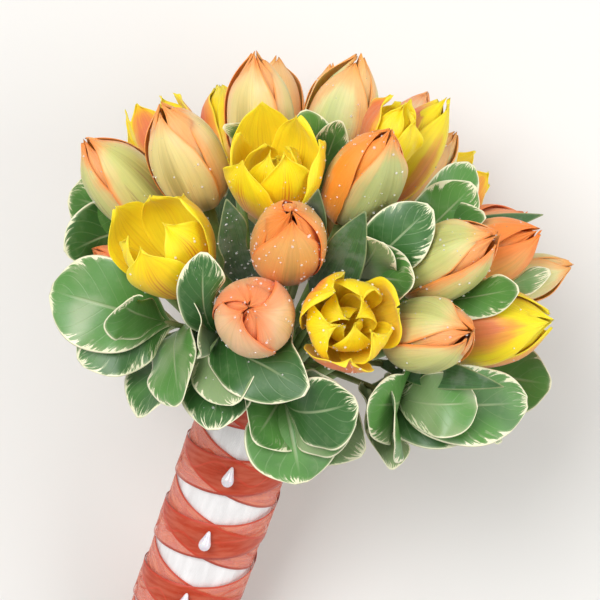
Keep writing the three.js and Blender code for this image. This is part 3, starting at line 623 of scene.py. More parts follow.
def organza_finish(name, tint, over_another):
    """Sheer ribbon: an open weave that lets the satin through, deeper where it lies over another."""
    finish = Finish(name)
    across, up = finish.blade_parts()
    clouds = finish.speckle(finish.place(), 70.0)
    lanes = finish.vector(across * 7.0, up * 50.0, 0.0)
    gather = finish.speckle(lanes, 1.0, 3.0)
    weave = finish.threads(lanes, 3.0, 0.4, 2.0, "X")
    lines = abs(across - 0.5).rise(0.43, 0.46)
    drift = finish.vector(up * 23.0, 0.0, 3.0)
    wander = (finish.speckle(drift, 1.0, 1.0) - 0.5) * 2.6
    crease = abs((across - 0.5) + wander).fall(0.015, 0.05)
    lines = lines.or_more(crease * 0.6)
    doubled = 0.0
    if over_another:
        turn = (up * (2 * RIBBON_TURNS) + 0.5).fraction() - 0.5
        aside = abs(turn * (2 * RIBBON_PITCH / RIBBON_WIDTH) - (across * 2.0 - 1.0))
        doubled = aside.fall(0.98, 1.02)
        under_edge = doubled * aside.rise(0.84, 0.9)
        lines = lines.or_more(under_edge * 0.9)
    deep = tinted(tint, (0.62, 0.3, 0.3))
    light = tinted(tint, (1, 1, 1), (0.1, 0.17, 0.12))
    shade = finish.blend(gather.rise(0.35, 0.65), tint, light)
    shade = finish.blend(doubled * 0.6, shade, deep)
    shade = finish.blend(lines * 0.85, shade, deep)
    cover = 0.4 + (gather - 0.5) * 0.5 + (weave - 0.5) * 0.06 + doubled * 0.25 + lines * 0.5
    cover = cover.clamped()
    return finish.surface(
        shade, 0.4 + clouds * 0.2, gather, 0.0004, Sheen_Weight=0.3, Sheen_Roughness=0.35, Alpha=cover
    )


def pearl_finish():
    """A pearl bead: cream with a soft depth, glossy."""
    finish = Finish("pearl")
    clouds = finish.speckle(finish.place(), 180.0)
    shade = finish.blend(clouds.rise(0.35, 0.65), colour("#d6cedb"), colour("#ece6ea"))
    return finish.surface(
        shade, 0.16 + clouds * 0.1, clouds, 0.00003, Coat_Weight=0.8, Coat_Roughness=0.06,
        Subsurface_Weight=0.15, Subsurface_Scale=0.002, Sheen_Weight=0.2, Specular_IOR_Level=0.7,
    )


def metal_finish():
    """The pin's nickelled shaft."""
    finish = Finish("pin_metal")
    wear = finish.speckle(finish.place(), 300.0)
    shade = finish.blend(wear, colour("#b9b6b0"), colour("#d8d5cf"))
    return finish.surface(shade, 0.2 + wear * 0.15, Metallic=1.0)


def water_finish():
    """A drop of water, mostly see-through, with white painted in as its glint."""
    finish = Finish("water")
    ripple = finish.speckle(finish.place(), 500.0)
    # Painted highlight: a white base colour at about a third of full cover makes each drop show as a bright
    # speck.
    return finish.surface(
        (1.0, 1.0, 1.0, 1.0), ripple * 0.06, IOR=1.33, Specular_IOR_Level=1.0, Coat_Weight=1.0,
        Coat_Roughness=0.02, Alpha=0.3,
    )


def flower_centre_finish(name, first, second, scale):
    """The seed pod or the anthers of an open tulip, mottled."""
    finish = Finish(name)
    grain = finish.speckle(finish.place(), scale, 3.0, 0.7)
    shade = finish.blend(grain.rise(0.4, 0.62), colour(first), colour(second))
    return finish.surface(shade, 0.45 + grain * 0.2, grain, 0.0003)


def table_finish(pale):
    """The plain matt table."""
    finish = Finish("table")
    clouds = finish.speckle(finish.place(), 3.0)
    shade = finish.blend(clouds, dimmed(pale, 0.97), pale)
    return finish.surface(shade, 0.7 + clouds * 0.1)


# ------------------------------------------------------------------ making pieces


def blade_layers(bm):
    """The places on a blade, its distance from the margin, and its own tone."""
    uv = bm.loops.layers.uv.get("blade") or bm.loops.layers.uv.new("blade")
    edge = bm.verts.layers.float.get("edge") or bm.verts.layers.float.new("edge")
    flush = bm.faces.layers.float.get("flush") or bm.faces.layers.float.new("flush")
    return uv, edge, flush


def walk(verts):
    """How far each corner is from the first, stepping from one to the next."""
    steps = [0.0]
    for a, b in zip(verts, verts[1:]):
        steps.append(steps[-1] + (b.co - a.co).length)
    return steps


def grow_blade(bm, across, rows, shape, tone=0.5):
    """Adds a flat grid and bends it into a petal or a leaf.

    shape(x, v) gives the point at x, -1 to 1 across, and v, 0 at the foot to 1 at the tip.
    """
    uv, edge, flush = blade_layers(bm)
    grid = bmesh.ops.create_grid(bm, x_segments=across, y_segments=rows, size=1)["verts"]
    for face in {face for vert in grid for face in vert.link_faces}:
        face[flush] = tone
        face.smooth = True
        for loop in face.loops:
            loop[uv].uv = ((loop.vert.co.x + 1) / 2, (loop.vert.co.y + 1) / 2)
    for vert in grid:
        vert.co = shape(vert.co.x, (vert.co.y + 1) / 2)
    lattice = [grid[i : i + across + 1] for i in range(0, len(grid), across + 1)]
    lengths = walk([row[(across + 1) // 2] for row in lattice])
    for row, length in zip(lattice, lengths):
        steps = walk(row)
        to_tip = max(0.0, (lengths[-1] - length) * 0.8) + 0.05
        for vert, step in zip(row, steps):
            to_side = min(step, steps[-1] - step) + 0.02
            vert[edge] = (to_side**-4 + to_tip**-4) ** -0.25
    return grid


def piece(bm, name, finishes, nodes=(), thickness=0.0, levels=0, settle=TO_TABLE):
    """Lays a shape on the table, gives it its thickness and finish, hangs it on the root body and hides the
    imported parts that it stands for.
    """
    mesh = bpy.data.meshes.new(name)
    bm.transform(settle)
    bm.to_mesh(mesh)
    bm.free()
    mesh.shade_smooth()
    obj = bpy.data.objects.new(name, mesh)
    bpy.context.scene.collection.objects.link(obj)
    for finish in finishes:
        mesh.materials.append(finish)
    if thickness:
        wall = obj.modifiers.new("thickness", "SOLIDIFY")
        wall.thickness = thickness
        wall.offset = 0.0
        wall.material_offset = 1 if len(finishes) > 1 else 0
    if levels:
        smooth = obj.modifiers.new("smooth", "SUBSURF")
        smooth.levels = smooth.render_levels = levels
    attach(obj, "root")
    if nodes:
        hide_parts(*nodes)
    return obj


def rod(bm, start, end, start_radius, end_radius, sides=10, cuts=0):
    """Adds a round rod between two points, and gives its new corners back."""
    run = end - start
    forward = run.normalized()
    before = len(bm.verts)
    new = bmesh.ops.create_cone(
        bm, cap_ends=True, segments=sides, radius1=start_radius, radius2=end_radius, depth=run.length,
        matrix=Matrix.Translation((start + end) / 2) @ pointing(forward),
    )["verts"]
    if cuts:
        long_edges = {
            edge for vert in new for edge in vert.link_edges
            if abs((edge.verts[1].co - edge.verts[0].co).normalized().dot(forward)) > 0.9
        }
        bmesh.ops.subdivide_edges(bm, edges=list(long_edges), cuts=cuts)
    bm.verts.ensure_lookup_table()
    return bm.verts[before:]


def paint(bm, first, number):
    """Gives every face from the first one on a finish, by its number in the piece's list."""
    bm.faces.ensure_lookup_table()
    for face in bm.faces[first:]:
        face.material_index = number


# ------------------------------------------------------------------ tulips


# Share of the length and share of the full width of a closed tulip.
BUD_GIRTH = [
    (0, 0.14), (0.04, 0.42), (0.12, 0.73), (0.25, 0.93), (0.42, 1), (0.6, 0.95), (0.75, 0.81),
    (0.87, 0.6), (0.95, 0.41), (1, 0.26),
]
# Tulips whose outer petals fold over one another at the mouth, seen from above: how wide they are, in
# degrees each side, and how far each holds off the middle, as a share of the width.
FOLDED = {"orange_b": (78, (0.02, 0.1, 0.2)), "orange_a": (70, (0.06, 0.14, 0.2))}
# How far the top of a flower leans, in mm to the right, up the bunch and off the table.
LEANS = {"yellow_a": (-1, 10, -13)}


def flower_axis(tulip):
    """The way a flower points."""
    name, down, around, _, length, _, _, _ = tulip
    right, up, off = LEANS.get(name, (0, 0, 0))
    lean = Vector((right, 0, 0)) + OFF_TABLE.cross(Vector((1, 0, 0))) * up + OFF_TABLE * off
    return (ray(down, around) * length + lean).normalized()


def standing(tulip):
    """Places a flower on its stem."""
    _, down, around, _, _, _, foot, turn = tulip
    return (
        Matrix.Translation(ray(down, around) * foot) @ pointing(flower_axis(tulip))
        @ Matrix.Rotation(math.radians(turn), 4, "Z")
    )


def flushes(name, seed, count):
    """How flushed each petal is."""
    if name in FLUSH:
        return FLUSH[name]
    return tuple(0.15 + 0.7 * vary(seed + 20 + k) + (0.25 if k > 2 else 0) for k in range(count))


def closed_petals(name, length, width, seed):
    """The petals of a closed tulip, outer three first: a shape and a tone for each.

    A folded one has a core of three more, so that nothing shows through between its petals.
    """
    tones = flushes(name, seed, 6) + (1.0, 1.0, 1.0)
    hand = 1 if vary(seed + 40) > 0.4 else -1
    wide, mouths = FOLDED.get(name, (0, None))
    petals = []
    for k in range(9 if wide else 6):
        inner, core = k > 2, k > 5
        lean = 16 * (vary(seed + k + 30) - 0.5)
        if inner:
            half = max(54, 0.9 * wide)
            tall = length * (0.97 + 0.04 * vary(seed + k + 6))
            mouth = 0.01 + (0.02 if wide else 0.09) * vary(seed + k + 9)
        else:
            half = max(61 + 6 * vary(seed + k), wide)
            tall = length * (0.93 + 0.06 * vary(seed + k + 6))
            mouth = mouths[k] if mouths else 0.07 + 0.13 * vary(seed + k + 9)
        centre = 120 * (k % 3) + (60 if inner and not core else 0)
        radius = width / 2
        if core:
            tall, radius = 0.94 * tall, 0.8 * radius
        shape = closed_petal(centre, lean, half, tall, mouth, hand, radius, inner, seed + k)
        petals.append((shape, min(1.0, tones[k])))
    return petals


def closed_petal(centre, lean, half, tall, mouth, hand, radius, inner, seed):
    """One petal of a closed tulip, as a function of its places. One side laps over its neighbour."""
    flare = 0.05 + 0.3 * vary(seed + 12)

    def shape(x, v):
        height = v**1.2
        tip = ease(height, 0.72, 1.0)
        girth = along(BUD_GIRTH, height) + (mouth - BUD_GIRTH[-1][1]) * tip
        narrow = max((1 - height**5.2) ** 0.72, 0.07)
        soft = wobble(1.3 * x + 7 * seed, 2.4 * v, 0.37 * seed)
        frill = wobble(3.1 * x + seed, 6.0 * v, 1.7 * seed)
        fine = wobble(5.3 * x + seed, 15.0 * v, 2.9 * seed)
        angle = math.radians(centre + lean * tip + half * x * narrow * (1 + 0.05 * fine * abs(x) ** 3))
        out = radius * girth + 0.4 * soft
        upper = ease(height, 0.2, 0.75)
        if inner:
            out -= radius * (0.05 + 0.08 * ease(height, 0.1, 0.8)) * (1 - 0.5 * tip) + 0.35
            out += 2.4 * frill * ease(height, 0.75, 1.0) + 0.6 * x * hand
        else:
            over = hand * x
            out += (
                0.6 * over * (1 - 0.4 * tip) + flare * max(0.0, over) ** 5 * upper
                + 0.5 * frill * abs(x) ** 3 * upper
            )
            out -= 0.45 * math.exp(-((x / 0.1) ** 2)) * (1 - tip)
            out += 1.1 * frill * ease(height, 0.86, 1.0)
        out = max(out, 2.0 * (1 - tip) + 0.3)
        ragged = (0.8 * abs(x) ** 1.5 - 1.1 * frill - 0.7 * fine) * ease(height, 0.85, 1.0)
        return polar(out, angle, tall * height - ragged)

    return shape


# For each petal, outer three first: turn, share of the width, share of the length, breadth in
# radians and flare in millimetres.
OPEN_KINDS = {
    "cup": [
        (0, 1, 0.97, 1.05, -3), (120, 1, 1, 1.05, 2), (240, 1, 0.94, 1.05, -4),
        (60, 0.86, 0.98, 1, 0), (180, 0.86, 0.92, 1, -4), (300, 0.86, 0.99, 1, -2),
    ],
    "star": [
        (0, 1, 0.98, 1, 3), (120, 1, 1, 1, 4), (240, 1, 0.92, 1, 1),
        (60, 0.84, 0.96, 1, -1), (180, 0.84, 1, 1, 0), (300, 0.84, 0.93, 1, -2),
    ],
    "double": [
        (0, 1, 0.94, 1, 2), (120, 1, 1, 1, 0), (240, 1, 0.9, 1, 3),
        (60, 0.87, 0.98, 1, -2), (180, 0.87, 0.92, 1, 0), (300, 0.87, 0.97, 1, -4),
        (20, 0.62, 0.84, 1.1, -8), (140, 0.62, 0.8, 1.1, -6), (260, 0.62, 0.87, 1.1, -9),
        (80, 0.4, 0.7, 1.2, -8), (200, 0.4, 0.66, 1.2, -7), (320, 0.4, 0.72, 1.2, -8),
    ],
}
OPEN_OUT = [(0.1, 0.42), (0.28, 0.74), (0.56, 0.98), (0.82, 1), (1, 0.94)]
OPEN_HALF = [
    (0, 0.34), (0.1, 0.42), (0.28, 0.64), (0.48, 0.78), (0.64, 0.72), (0.78, 0.52), (0.88, 0.32),
    (0.95, 0.15), (1, 0.03),
]
# How far the tips of a flower's petals curl in over its middle, as a share of the width, for each
# layer of three.
USUAL_CURL = 0.16
CURLS = {
    "yellow_c": (0.2, 0.55, 0.9, 0.85), "flame_b": (0.5, 0.7), "yellow_a": (0.2, 0.34),
    "yellow_b": (0.08, 0.16, 0.4, 0.5),
}
RUFFLES = {"cup": 0.9, "star": 1.5, "double": 1.4}
# Open tulips whose petals close over the middle, so that no seed pod or stamen shows.
CRUMPLED = ("yellow_c", "flame_b")


def open_petals(name, kind, length, width, seed):
    """The petals of an open tulip, outer ones first: a shape and a tone for each."""
    tones = flushes(name, seed, 12)
    petals = []
    for k, (turn, out, tall, breadth, flare) in enumerate(OPEN_KINDS[kind]):
        layer = k // 3
        reach = width / 2 * out - 1
        curl = CURLS[name][layer] if name in CURLS else USUAL_CURL
        shape = open_petal(
            turn, layer, reach, length * tall, breadth, 0.7 * flare, RUFFLES[kind], curl, seed + k
        )
        petals.append((shape, min(1.0, tones[k % len(tones)])))
    return petals


def open_petal(turn, layer, reach, tall, breadth, flare, ruffle, curl, seed):
    """One petal of an open tulip, as a function of its places."""
    foot = (3 - 0.6 * layer) / reach
    outs = [(0, foot), *OPEN_OUT]
    wave = 2 * (vary(seed) - 0.5)

    def shape(x, v):
        out = along(outs, v)
        upper = ease(v, 0.3, 0.85)
        fine = wobble(2.0 * (1 if x > 0 else -1), 13.0 * v, 2.3 * seed)
        half = breadth * along(OPEN_HALF, v) / max(out, 0.7) * (1 + 0.16 * fine * upper)
        angle = math.radians(turn) + half * x
        soft = wobble(1.1 * x + 5 * seed, 2.0 * v, 0.7 * seed)
        frill = wobble(2.6 * x + seed, 5.5 * v, 1.9 * seed)
        distance = reach * out + flare * max(0.0, v - 0.5) + 0.7 * soft
        ripple = 0.6 * math.sin(11 * v + 2.5 * x + seed) * x**4
        distance += 0.6 * x * x + ruffle * upper * (2.2 * frill * x * x + ripple)
        distance -= curl * reach * ease(v, 0.62, 1.0) * (1 - 0.4 * abs(x))
        distance -= 0.7 * math.exp(-((x / 0.08) ** 2)) * (1 - ease(v, 0.6, 1.0))
        distance = max(distance, 0.6 + 0.4 * layer)
        height = 1 + 2 * layer * (1 - v) + (tall - 1) * v**1.08 - wave * v * x
        height -= 0.5 * curl * reach * ease(v, 0.75, 1.0)
        notch = wobble(4.2 * x + 3 * seed, 0.5, seed)
        height -= ease(v, 0.8, 1.0) * (1.5 * abs(x) ** 1.1 + 1.0 * notch)
        return polar(distance, angle, height)

    return shape


# Tulips whose petals are coloured like another sort's.
FINISH_OF = {"yellow_c": "flame", "orange_c": "two_tone", "orange_b": "salmon", "peach_a": "flame"}


def make_tulip(tulip, seed, settings, finishes):
    """One flower with all its petals. Those of an open one are wider, so they have a few more faces."""
    name, _, _, kind, length, width, _, _ = tulip
    across, rows = settings.across, settings.rows
    if kind == "bud":
        petals = closed_petals(name, length, width, seed)
    else:
        petals = open_petals(name, kind, length, width, seed)
        across, rows = across + 3, rows + 2
    bm = bmesh.new()
    for shape, tone in petals:
        grow_blade(bm, across, rows, shape, tone)
    bm.transform(standing(tulip))
    sort = name.split("_")[0]
    piece(
        bm, f"petals_{name}", finishes[FINISH_OF.get(name, sort)], (f"bloom_{name}",),
        settings.petal_thickness, 1,
    )


def petal_finishes():
    """Outside and inside finish for each sort of tulip."""
    return {word: (petal_finish(word, False), petal_finish(word, True)) for word in PETAL_COLOURS}


# ------------------------------------------------------------------ leaves


def facing(name, place):
    """The way a leaf's face looks."""
    if name == "up":
        return OFF_TABLE
    if name == "flowers":
        return TOWARDS_FLOWERS
    return place.normalized()


def room_radius(kind, width, height):
    """Radius of the room a flower takes, at heights from 0 to 1."""
    if kind == "bud":
        return width / 2 * 1.04 * np.interp(height, *zip(*BUD_GIRTH))
    flared = 2 if kind == "double" else 4
    return width / 2 * np.minimum(1, 0.3 + 2.2 * height) + flared * np.maximum(0, height - 0.5)


def even(radius):
    """The room a stem takes: the same radius at every height."""
    return lambda heights: np.full(len(heights), radius)


def rooms():
    """What leaves keep out of: foot, direction, length, radius and whether its far end is open."""
    up = np.array(TOWARDS_FLOWERS)
    taken = []
    for tulip in TULIPS:
        _, down, around, kind, length, width, foot, _ = tulip
        axis, way = np.array(ray(down, around)), np.array(flower_axis(tulip))
        taken.append((axis * foot, way, length, partial(room_radius, kind, width), kind != "bud"))
        taken.append((axis * KNOT_RADIUS, axis, foot - KNOT_RADIUS, even(STEM_RADIUS), False))
    taken.append((up * -CUT_END, up, CUT_END, even(WRAP_RADIUS + 1), False))
    return taken


def bend_clear(points, taken, gap):
    """Moves points of a leaf sideways out of every flower, stem and wrap, and up off the table."""
    up = np.array(OFF_TABLE)
    for _ in range(3):
        for foot, axis, length, radius, open_end in taken:
            reach = (points - foot) @ axis
            nearest = foot + np.clip(reach, 0, length)[:, None] * axis
            away = points - nearest
            far = np.linalg.norm(away, axis=1) + 1e-9
            needed = radius(np.clip(reach / length, 0, 1)) + gap
            inside = (far < needed) & ~((reach > length) & open_end)
            points[inside] = (nearest + away / far[:, None] * needed[:, None])[inside]
        height = points @ up + TABLE_DROP
        points += np.maximum(0, OVER_TABLE - height)[:, None] * up
    return points


def grow_leaf(bm, foot, outward, leaf, layer, outline, seed, taken, wavy):
    """Adds one leaf, from its foot on the twig to its tip, bent clear of the flowers."""
    across, rows = LEAF_FACES
    down, around, distance, width, face = leaf
    tip = ray(down, around) * distance
    span = (tip - foot).length
    elbow = foot + outward * 0.42 * span
    elbow += facing(face, elbow) * layer
    cup = 0.16 * (vary(seed) - 0.25) * width
    ripple = 0.12 * (vary(seed + 1) - 0.5) * width
    waves = wavy * (1.2 + 1.6 * vary(seed + 2))

    def shape(x, v):
        place = foot * (1 - v) ** 2 + elbow * 2 * v * (1 - v) + tip * v * v
        forward = ((elbow - foot) * (1 - v) + (tip - elbow) * v).normalized()
        side = forward.cross(facing(face, place)).normalized()
        up = side.cross(forward).normalized()
        broad = along(outline, v)
        lift = cup * broad * abs(x) ** 1.4 + ripple * math.sin(7 * v + seed) * x * broad
        lift += waves * math.sin(17 * v + 2.2 * x + seed) * abs(x) ** 3 * broad
        lift += 0.5 * abs(x) ** 0.6 * broad
        edge = 1 + 0.05 * wobble(3 * v, x, seed) * abs(x)
        return place + side * width * 0.54 * broad * x * edge + up * lift

    grid = grow_blade(bm, across, rows, shape, vary(seed + 3))
    points = np.array([vert.co for vert in grid])
    middle = points.mean(axis=0)
    reach = np.linalg.norm(points - middle, axis=1).max()
    near = []
    for room in taken:
        start, way, length = room[:3]
        nearest = start + way * np.clip((middle - start) @ way, 0, length)
        if np.linalg.norm(nearest - middle) < reach + 30:
            near.append(room)
    points = bend_clear(points, near, FIRST_GAP)
    for _ in range(SOFTENED):
        lattice = points.reshape(rows + 1, across + 1, 3)
        softer = lattice.copy()
        softer[1:-1] = 0.5 * lattice[1:-1] + 0.25 * (lattice[:-2] + lattice[2:])
        softer[:, 1:-1] = 0.6 * softer[:, 1:-1] + 0.2 * (softer[:, :-2] + softer[:, 2:])
        points = bend_clear(softer.reshape(-1, 3), near, LAST_GAP)
    for vert, point in zip(grid, points):
        vert.co = point


def make_spray(
    name, down, around, reach, leaves, outline, seed, finishes, thickness, node, taken, wavy
):
    """The leaves of one spray."""
    outward = ray(down, around)
    bm = bmesh.new()
    for i, leaf in enumerate(leaves):
        foot = outward * (reach - 1 - LEAF_STEP * i)
        layer = LEAF_LIFT * (i - (len(leaves) - 1) / 2)
        grow_leaf(bm, foot, outward, leaf, layer, outline, seed + 5 * i, taken, wavy)
    piece(bm, name, finishes, (node,), thickness, 1)


# ------------------------------------------------------------------ settings


class TulipSettings(bpy.types.PropertyGroup):
    """Sizes shared by every tulip."""

    petal_thickness: FloatProperty(
        name="Petal thickness", description="How thick a petal is", default=0.0005, min=0.0003, max=0.002,
        subtype="DISTANCE", unit="LENGTH", precision=4,
    )
    across: IntProperty(name="Across", description="Faces across a petal", default=12, min=6, max=24)
    rows: IntProperty(name="Rows", description="Faces from foot to tip of a petal", default=16, min=8, max=32)


class LeafSettings(bpy.types.PropertyGroup):
    """Sizes and colours of the leaves."""

    thickness: FloatProperty(
        name="Leaf thickness", description="How thick a leaf is", default=0.0005, min=0.0003, max=0.002,
        subtype="DISTANCE", unit="LENGTH", precision=4,
    )
    green: FloatVectorProperty(
        name="Leaf green", description="Green of the broad leaves", subtype="COLOR", size=3, min=0, max=1,
        default=colour("#588c42")[:3],
    )
    cream: FloatVectorProperty(
        name="Margin", description="Cream of the leaf margins", subtype="COLOR", size=3, min=0, max=1,
        default=colour("#e8e6c4")[:3],
    )
    long_green: FloatVectorProperty(
        name="Tulip leaf", description="Blue-green of the tulip leaves", subtype="COLOR", size=3, min=0,
        max=1, default=colour("#45743f")[:3],
    )
    stem_green: FloatVectorProperty(
        name="Stems", description="Green of the stems", subtype="COLOR", size=3, min=0, max=1,
        default=colour("#7f9a50")[:3],
    )


class WrapSettings(bpy.types.PropertyGroup):
    """Colours and thicknesses of the wrap round the stems."""

    satin_thickness: FloatProperty(
        name="Satin thickness", description="How thick the satin is", default=0.0005, min=0.0002, max=0.001,
        subtype="DISTANCE", unit="LENGTH", precision=4,
    )
    ribbon_thickness: FloatProperty(
        name="Ribbon thickness", description="How thick the sheer ribbon is", default=0.00012,
        min=0.00005, max=0.0004, subtype="DISTANCE", unit="LENGTH", precision=5,
    )
    satin: FloatVectorProperty(
        name="Satin", description="Colour of the satin", subtype="COLOR", size=3, min=0, max=1,
        default=colour("#f9f7f8")[:3],
    )
    ribbon: FloatVectorProperty(
        name="Ribbon", description="Colour of the sheer ribbon", subtype="COLOR", size=3, min=0, max=1,
        default=colour("#ea5a2c")[:3],
    )


class DewSettings(bpy.types.PropertyGroup):
    """Drops of water on the flowers."""

    drops: IntProperty(name="Drops", description="Drops on each sprinkled flower", default=90, min=0, max=400)
    largest: FloatProperty(
        name="Largest drop", description="Radius of the largest drop", default=0.0008, min=0.0002, max=0.002,
        subtype="DISTANCE", unit="LENGTH", precision=4,
    )


class StageSettings(bpy.types.PropertyGroup):
    """The table, the light and the camera."""

    table: FloatVectorProperty(
        name="Table", description="Colour of the table", subtype="COLOR", size=3, min=0, max=1,
        default=(0.80, 0.79, 0.77),
    )
    key_power: FloatProperty(
        name="Main light", description="Power of the main light, in watts", default=13.0, min=0
    )
    fill_power: FloatProperty(
        name="Side light", description="Power of the side light, in watts", default=6.0, min=0
    )
    sky: FloatProperty(
        name="Room light", description="Strength of the light all round", default=0.55, min=0
    )
    distance: FloatProperty(
        name="Camera distance", description="From the crossing to the camera", default=0.9, min=0.3,
        subtype="DISTANCE", unit="LENGTH",
    )


# ------------------------------------------------------------------ operators


class TULIPS_OT_flowers(bpy.types.Operator):
    """Make every closed and open tulip"""

    bl_idname = "tulips.flowers"
    bl_label = "Tulips"

    def execute(self, context):
        settings = context.scene.tulip_settings
        finishes = petal_finishes()
        for i, tulip in enumerate(TULIPS):
            make_tulip(tulip, 10 * i, settings, finishes)
        return {"FINISHED"}


class TULIPS_OT_centres(bpy.types.Operator):
    """Make the seed pods and stamens of the open tulips"""

    bl_idname = "tulips.centres"
    bl_label = "Flower centres"

    def execute(self, context):
        bm = bmesh.new()
        for tulip in TULIPS:
            name, kind, length = tulip[0], tulip[3], tulip[4]
            if kind == "bud" or name in CRUMPLED:
                continue
            before = len(bm.faces)
            self.seed_pod(bm, 0.3 * length)
            paint(bm, before, 0)
            middle = len(bm.faces)
            self.stamens(bm, 0.2 * length)
            paint(bm, middle, 1)
            verts = {vert for face in bm.faces[before:] for vert in face.verts}
            bmesh.ops.transform(bm, matrix=standing(tulip), verts=list(verts))
        finishes = [
            flower_centre_finish("seed_pod", "#a8b25a", "#c9cc78", 400.0),
            flower_centre_finish("anthers", "#3a2a18", "#6b4a1e", 900.0),
        ]
        nodes = [f"bloom_{t[0]}" for t in TULIPS if t[3] != "bud"]
        piece(bm, "flower_centres", finishes, nodes)
        return {"FINISHED"}

    def seed_pod(self, bm, top):
        """A stout pod with three short lobes."""
        rod(bm, Vector((0, 0, 1)), Vector((0, 0, top)), 2.9, 2.2, 12)
        for lobe in range(3):
            rod(bm, Vector((0, 0, top - 0.6)), polar(3.4, math.radians(120 * lobe), top + 1.4), 1.5, 1.0, 8)

    def stamens(self, bm, top):
        """Six threads, each with its anther."""
        for stamen in range(6):
            direction = polar(1, math.radians(60 * stamen + 25), 0)
            start = direction * 3.4 + Vector((0, 0, 1.5))
            end = direction * 6.5 + Vector((0, 0, top))
            rod(bm, start, end, 0.6, 0.5, 6)
            rod(bm, end, end + direction * 0.8 + Vector((0, 0, 7.5)), 1.2, 0.8, 8, 2)


class TULIPS_OT_leaves(bpy.types.Operator):
    """Make the sprays of variegated leaves"""

    bl_idname = "tulips.leaves"
    bl_label = "Variegated leaves"

    def execute(self, context):
        settings = context.scene.leaf_settings
        green, cream = (*settings.green, 1.0), (*settings.cream, 1.0)
        finishes = [
            leaf_finish("leaf_face", green, cream, False), leaf_finish("leaf_back", green, cream, True)
        ]
        taken = rooms()
        for i, (name, down, around, reach, leaves) in enumerate(SPRAYS):
            make_spray(
                f"leaves_{name}", down, around, reach, leaves, BROAD_LEAF, LEAF_SEED + 40 * i, finishes,
                settings.thickness, f"spray_{name}", taken, 1.0,
            )
        return {"FINISHED"}


class TULIPS_OT_long_leaves(bpy.types.Operator):
    """Make the long tulip leaves"""

    bl_idname = "tulips.long_leaves"
    bl_label = "Tulip leaves"

    def execute(self, context):
        settings = context.scene.leaf_settings
        green = (*settings.long_green, 1.0)
        finishes = [
            long_leaf_finish("long_leaf_face", green, False), long_leaf_finish("long_leaf_back", green, True)
        ]
        taken = rooms()
        for i, (name, down, around, reach, leaf) in enumerate(TULIP_LEAVES):
            make_spray(
                f"long_leaf_{name}", down, around, reach, [leaf], LONG_LEAF, LONG_LEAF_SEED + i, finishes,
                settings.thickness, f"tulip_leaf_{name}", taken, 0.5,
            )
        return {"FINISHED"}


class TULIPS_OT_twigs(bpy.types.Operator):
    """Make the twigs that carry the leaves"""

    bl_idname = "tulips.twigs"
    bl_label = "Twigs"

    def execute(self, context):
        bm = bmesh.new()
        for _, down, around, reach, _ in [*SPRAYS, *TULIP_LEAVES]:
            outward = ray(down, around)
            rod(bm, outward * 20, outward * (reach + 0.5), TWIG_RADIUS, TWIG_RADIUS * 0.75, 10, 4)
        nodes = [f"spray_{s[0]}" for s in SPRAYS] + [f"tulip_leaf_{t[0]}" for t in TULIP_LEAVES]
        finish = stem_finish("twig", colour("#6c7a44"), colour("#8a8a5a"), 420.0)
        piece(bm, "twigs", [finish], nodes)
        return {"FINISHED"}


class TULIPS_OT_stems(bpy.types.Operator):
    """Make the flower stems, the bundle inside the wrap and the cut ends"""

    bl_idname = "tulips.stems"
    bl_label = "Stems"

    def execute(self, context):
        settings = context.scene.leaf_settings
        bm = bmesh.new()
        self.flower_stems(bm)
        self.bundle(bm)
        green = (*settings.stem_green, 1.0)
        finishes = [
            stem_finish("stem", green, dimmed(green, 0.8)),
            stem_finish("cut_end", colour("#c9cf94"), colour("#b4bd7c"), 900.0),
        ]
        piece(bm, "stems", finishes, ("stem_bundle",))
        return {"FINISHED"}

    def flower_stems(self, bm):
        """Each stem curves out of the bundle to its flower."""
        steepest = math.sin(math.radians(72))
        for _, down, around, _, _, _, foot, _ in TULIPS:
            axis = ray(down, around)
            apart = STEMS_APART * min(1.0, math.sin(math.radians(down)) / steepest)
            out = Vector((axis.x, axis.y, 0)).normalized() * apart
            start, reach = out - Vector((0, 0, STEMS_DEEP)), axis * (foot - 0.4)
            points = (start, (start + out) / 2, out + axis * 14, reach)
            radius = FLOWER_STEM_RADIUS
            for vert in rod(bm, Vector((0, 0, 0)), TOWARDS_FLOWERS, radius, radius, cuts=11):
                place, forward = self.path(*points, vert.co.z)
                turn = TOWARDS_FLOWERS.rotation_difference(forward)
                vert.co = place + turn @ Vector((vert.co.x, vert.co.y, 0))

    def path(self, a, b, c, d, t):
        """A point and a direction at a share t of the way from a to d, on a curve drawn by b and c."""
        place = a * (1 - t) ** 3 + b * 3 * t * (1 - t) ** 2 + c * 3 * t * t * (1 - t) + d * t**3
        forward = (b - a) * (1 - t) ** 2 + (c - b) * 2 * t * (1 - t) + (d - c) * t * t
        return place, forward.normalized()

    def bundle(self, bm):
        """Straight stems side by side, cut by hand at slightly different lengths."""
        for row in range(-CUT_RINGS, CUT_RINGS + 1):
            for place in range(-CUT_RINGS, CUT_RINGS + 1):
                if abs(row + place) > CUT_RINGS:
                    continue
                x, y = CUT_PITCH * (place + row / 2), ROW_PITCH * row
                end = CUT_END - CUT_SPREAD * vary(7 * row + 3 * place + 100)
                if math.hypot(x, y - 3 * ROW_PITCH) < 2 * CUT_PITCH:
                    end = CUT_END
                size = STEM_RADIUS * (0.93 + 0.07 * vary(3 * row + 11 * place))
                rod(bm, Vector((x, y, -CUT_TOP)), Vector((x, y, -end)), size, size, 14)
        bm.faces.ensure_lookup_table()
        ends = [f for f in bm.faces if len(f.verts) > 4 and f.calc_center_median().z < -CUT_END + 10]
        bmesh.ops.inset_individual(bm, faces=ends, thickness=0.5, depth=-0.15)
        for face in ends:
            face.material_index = 1


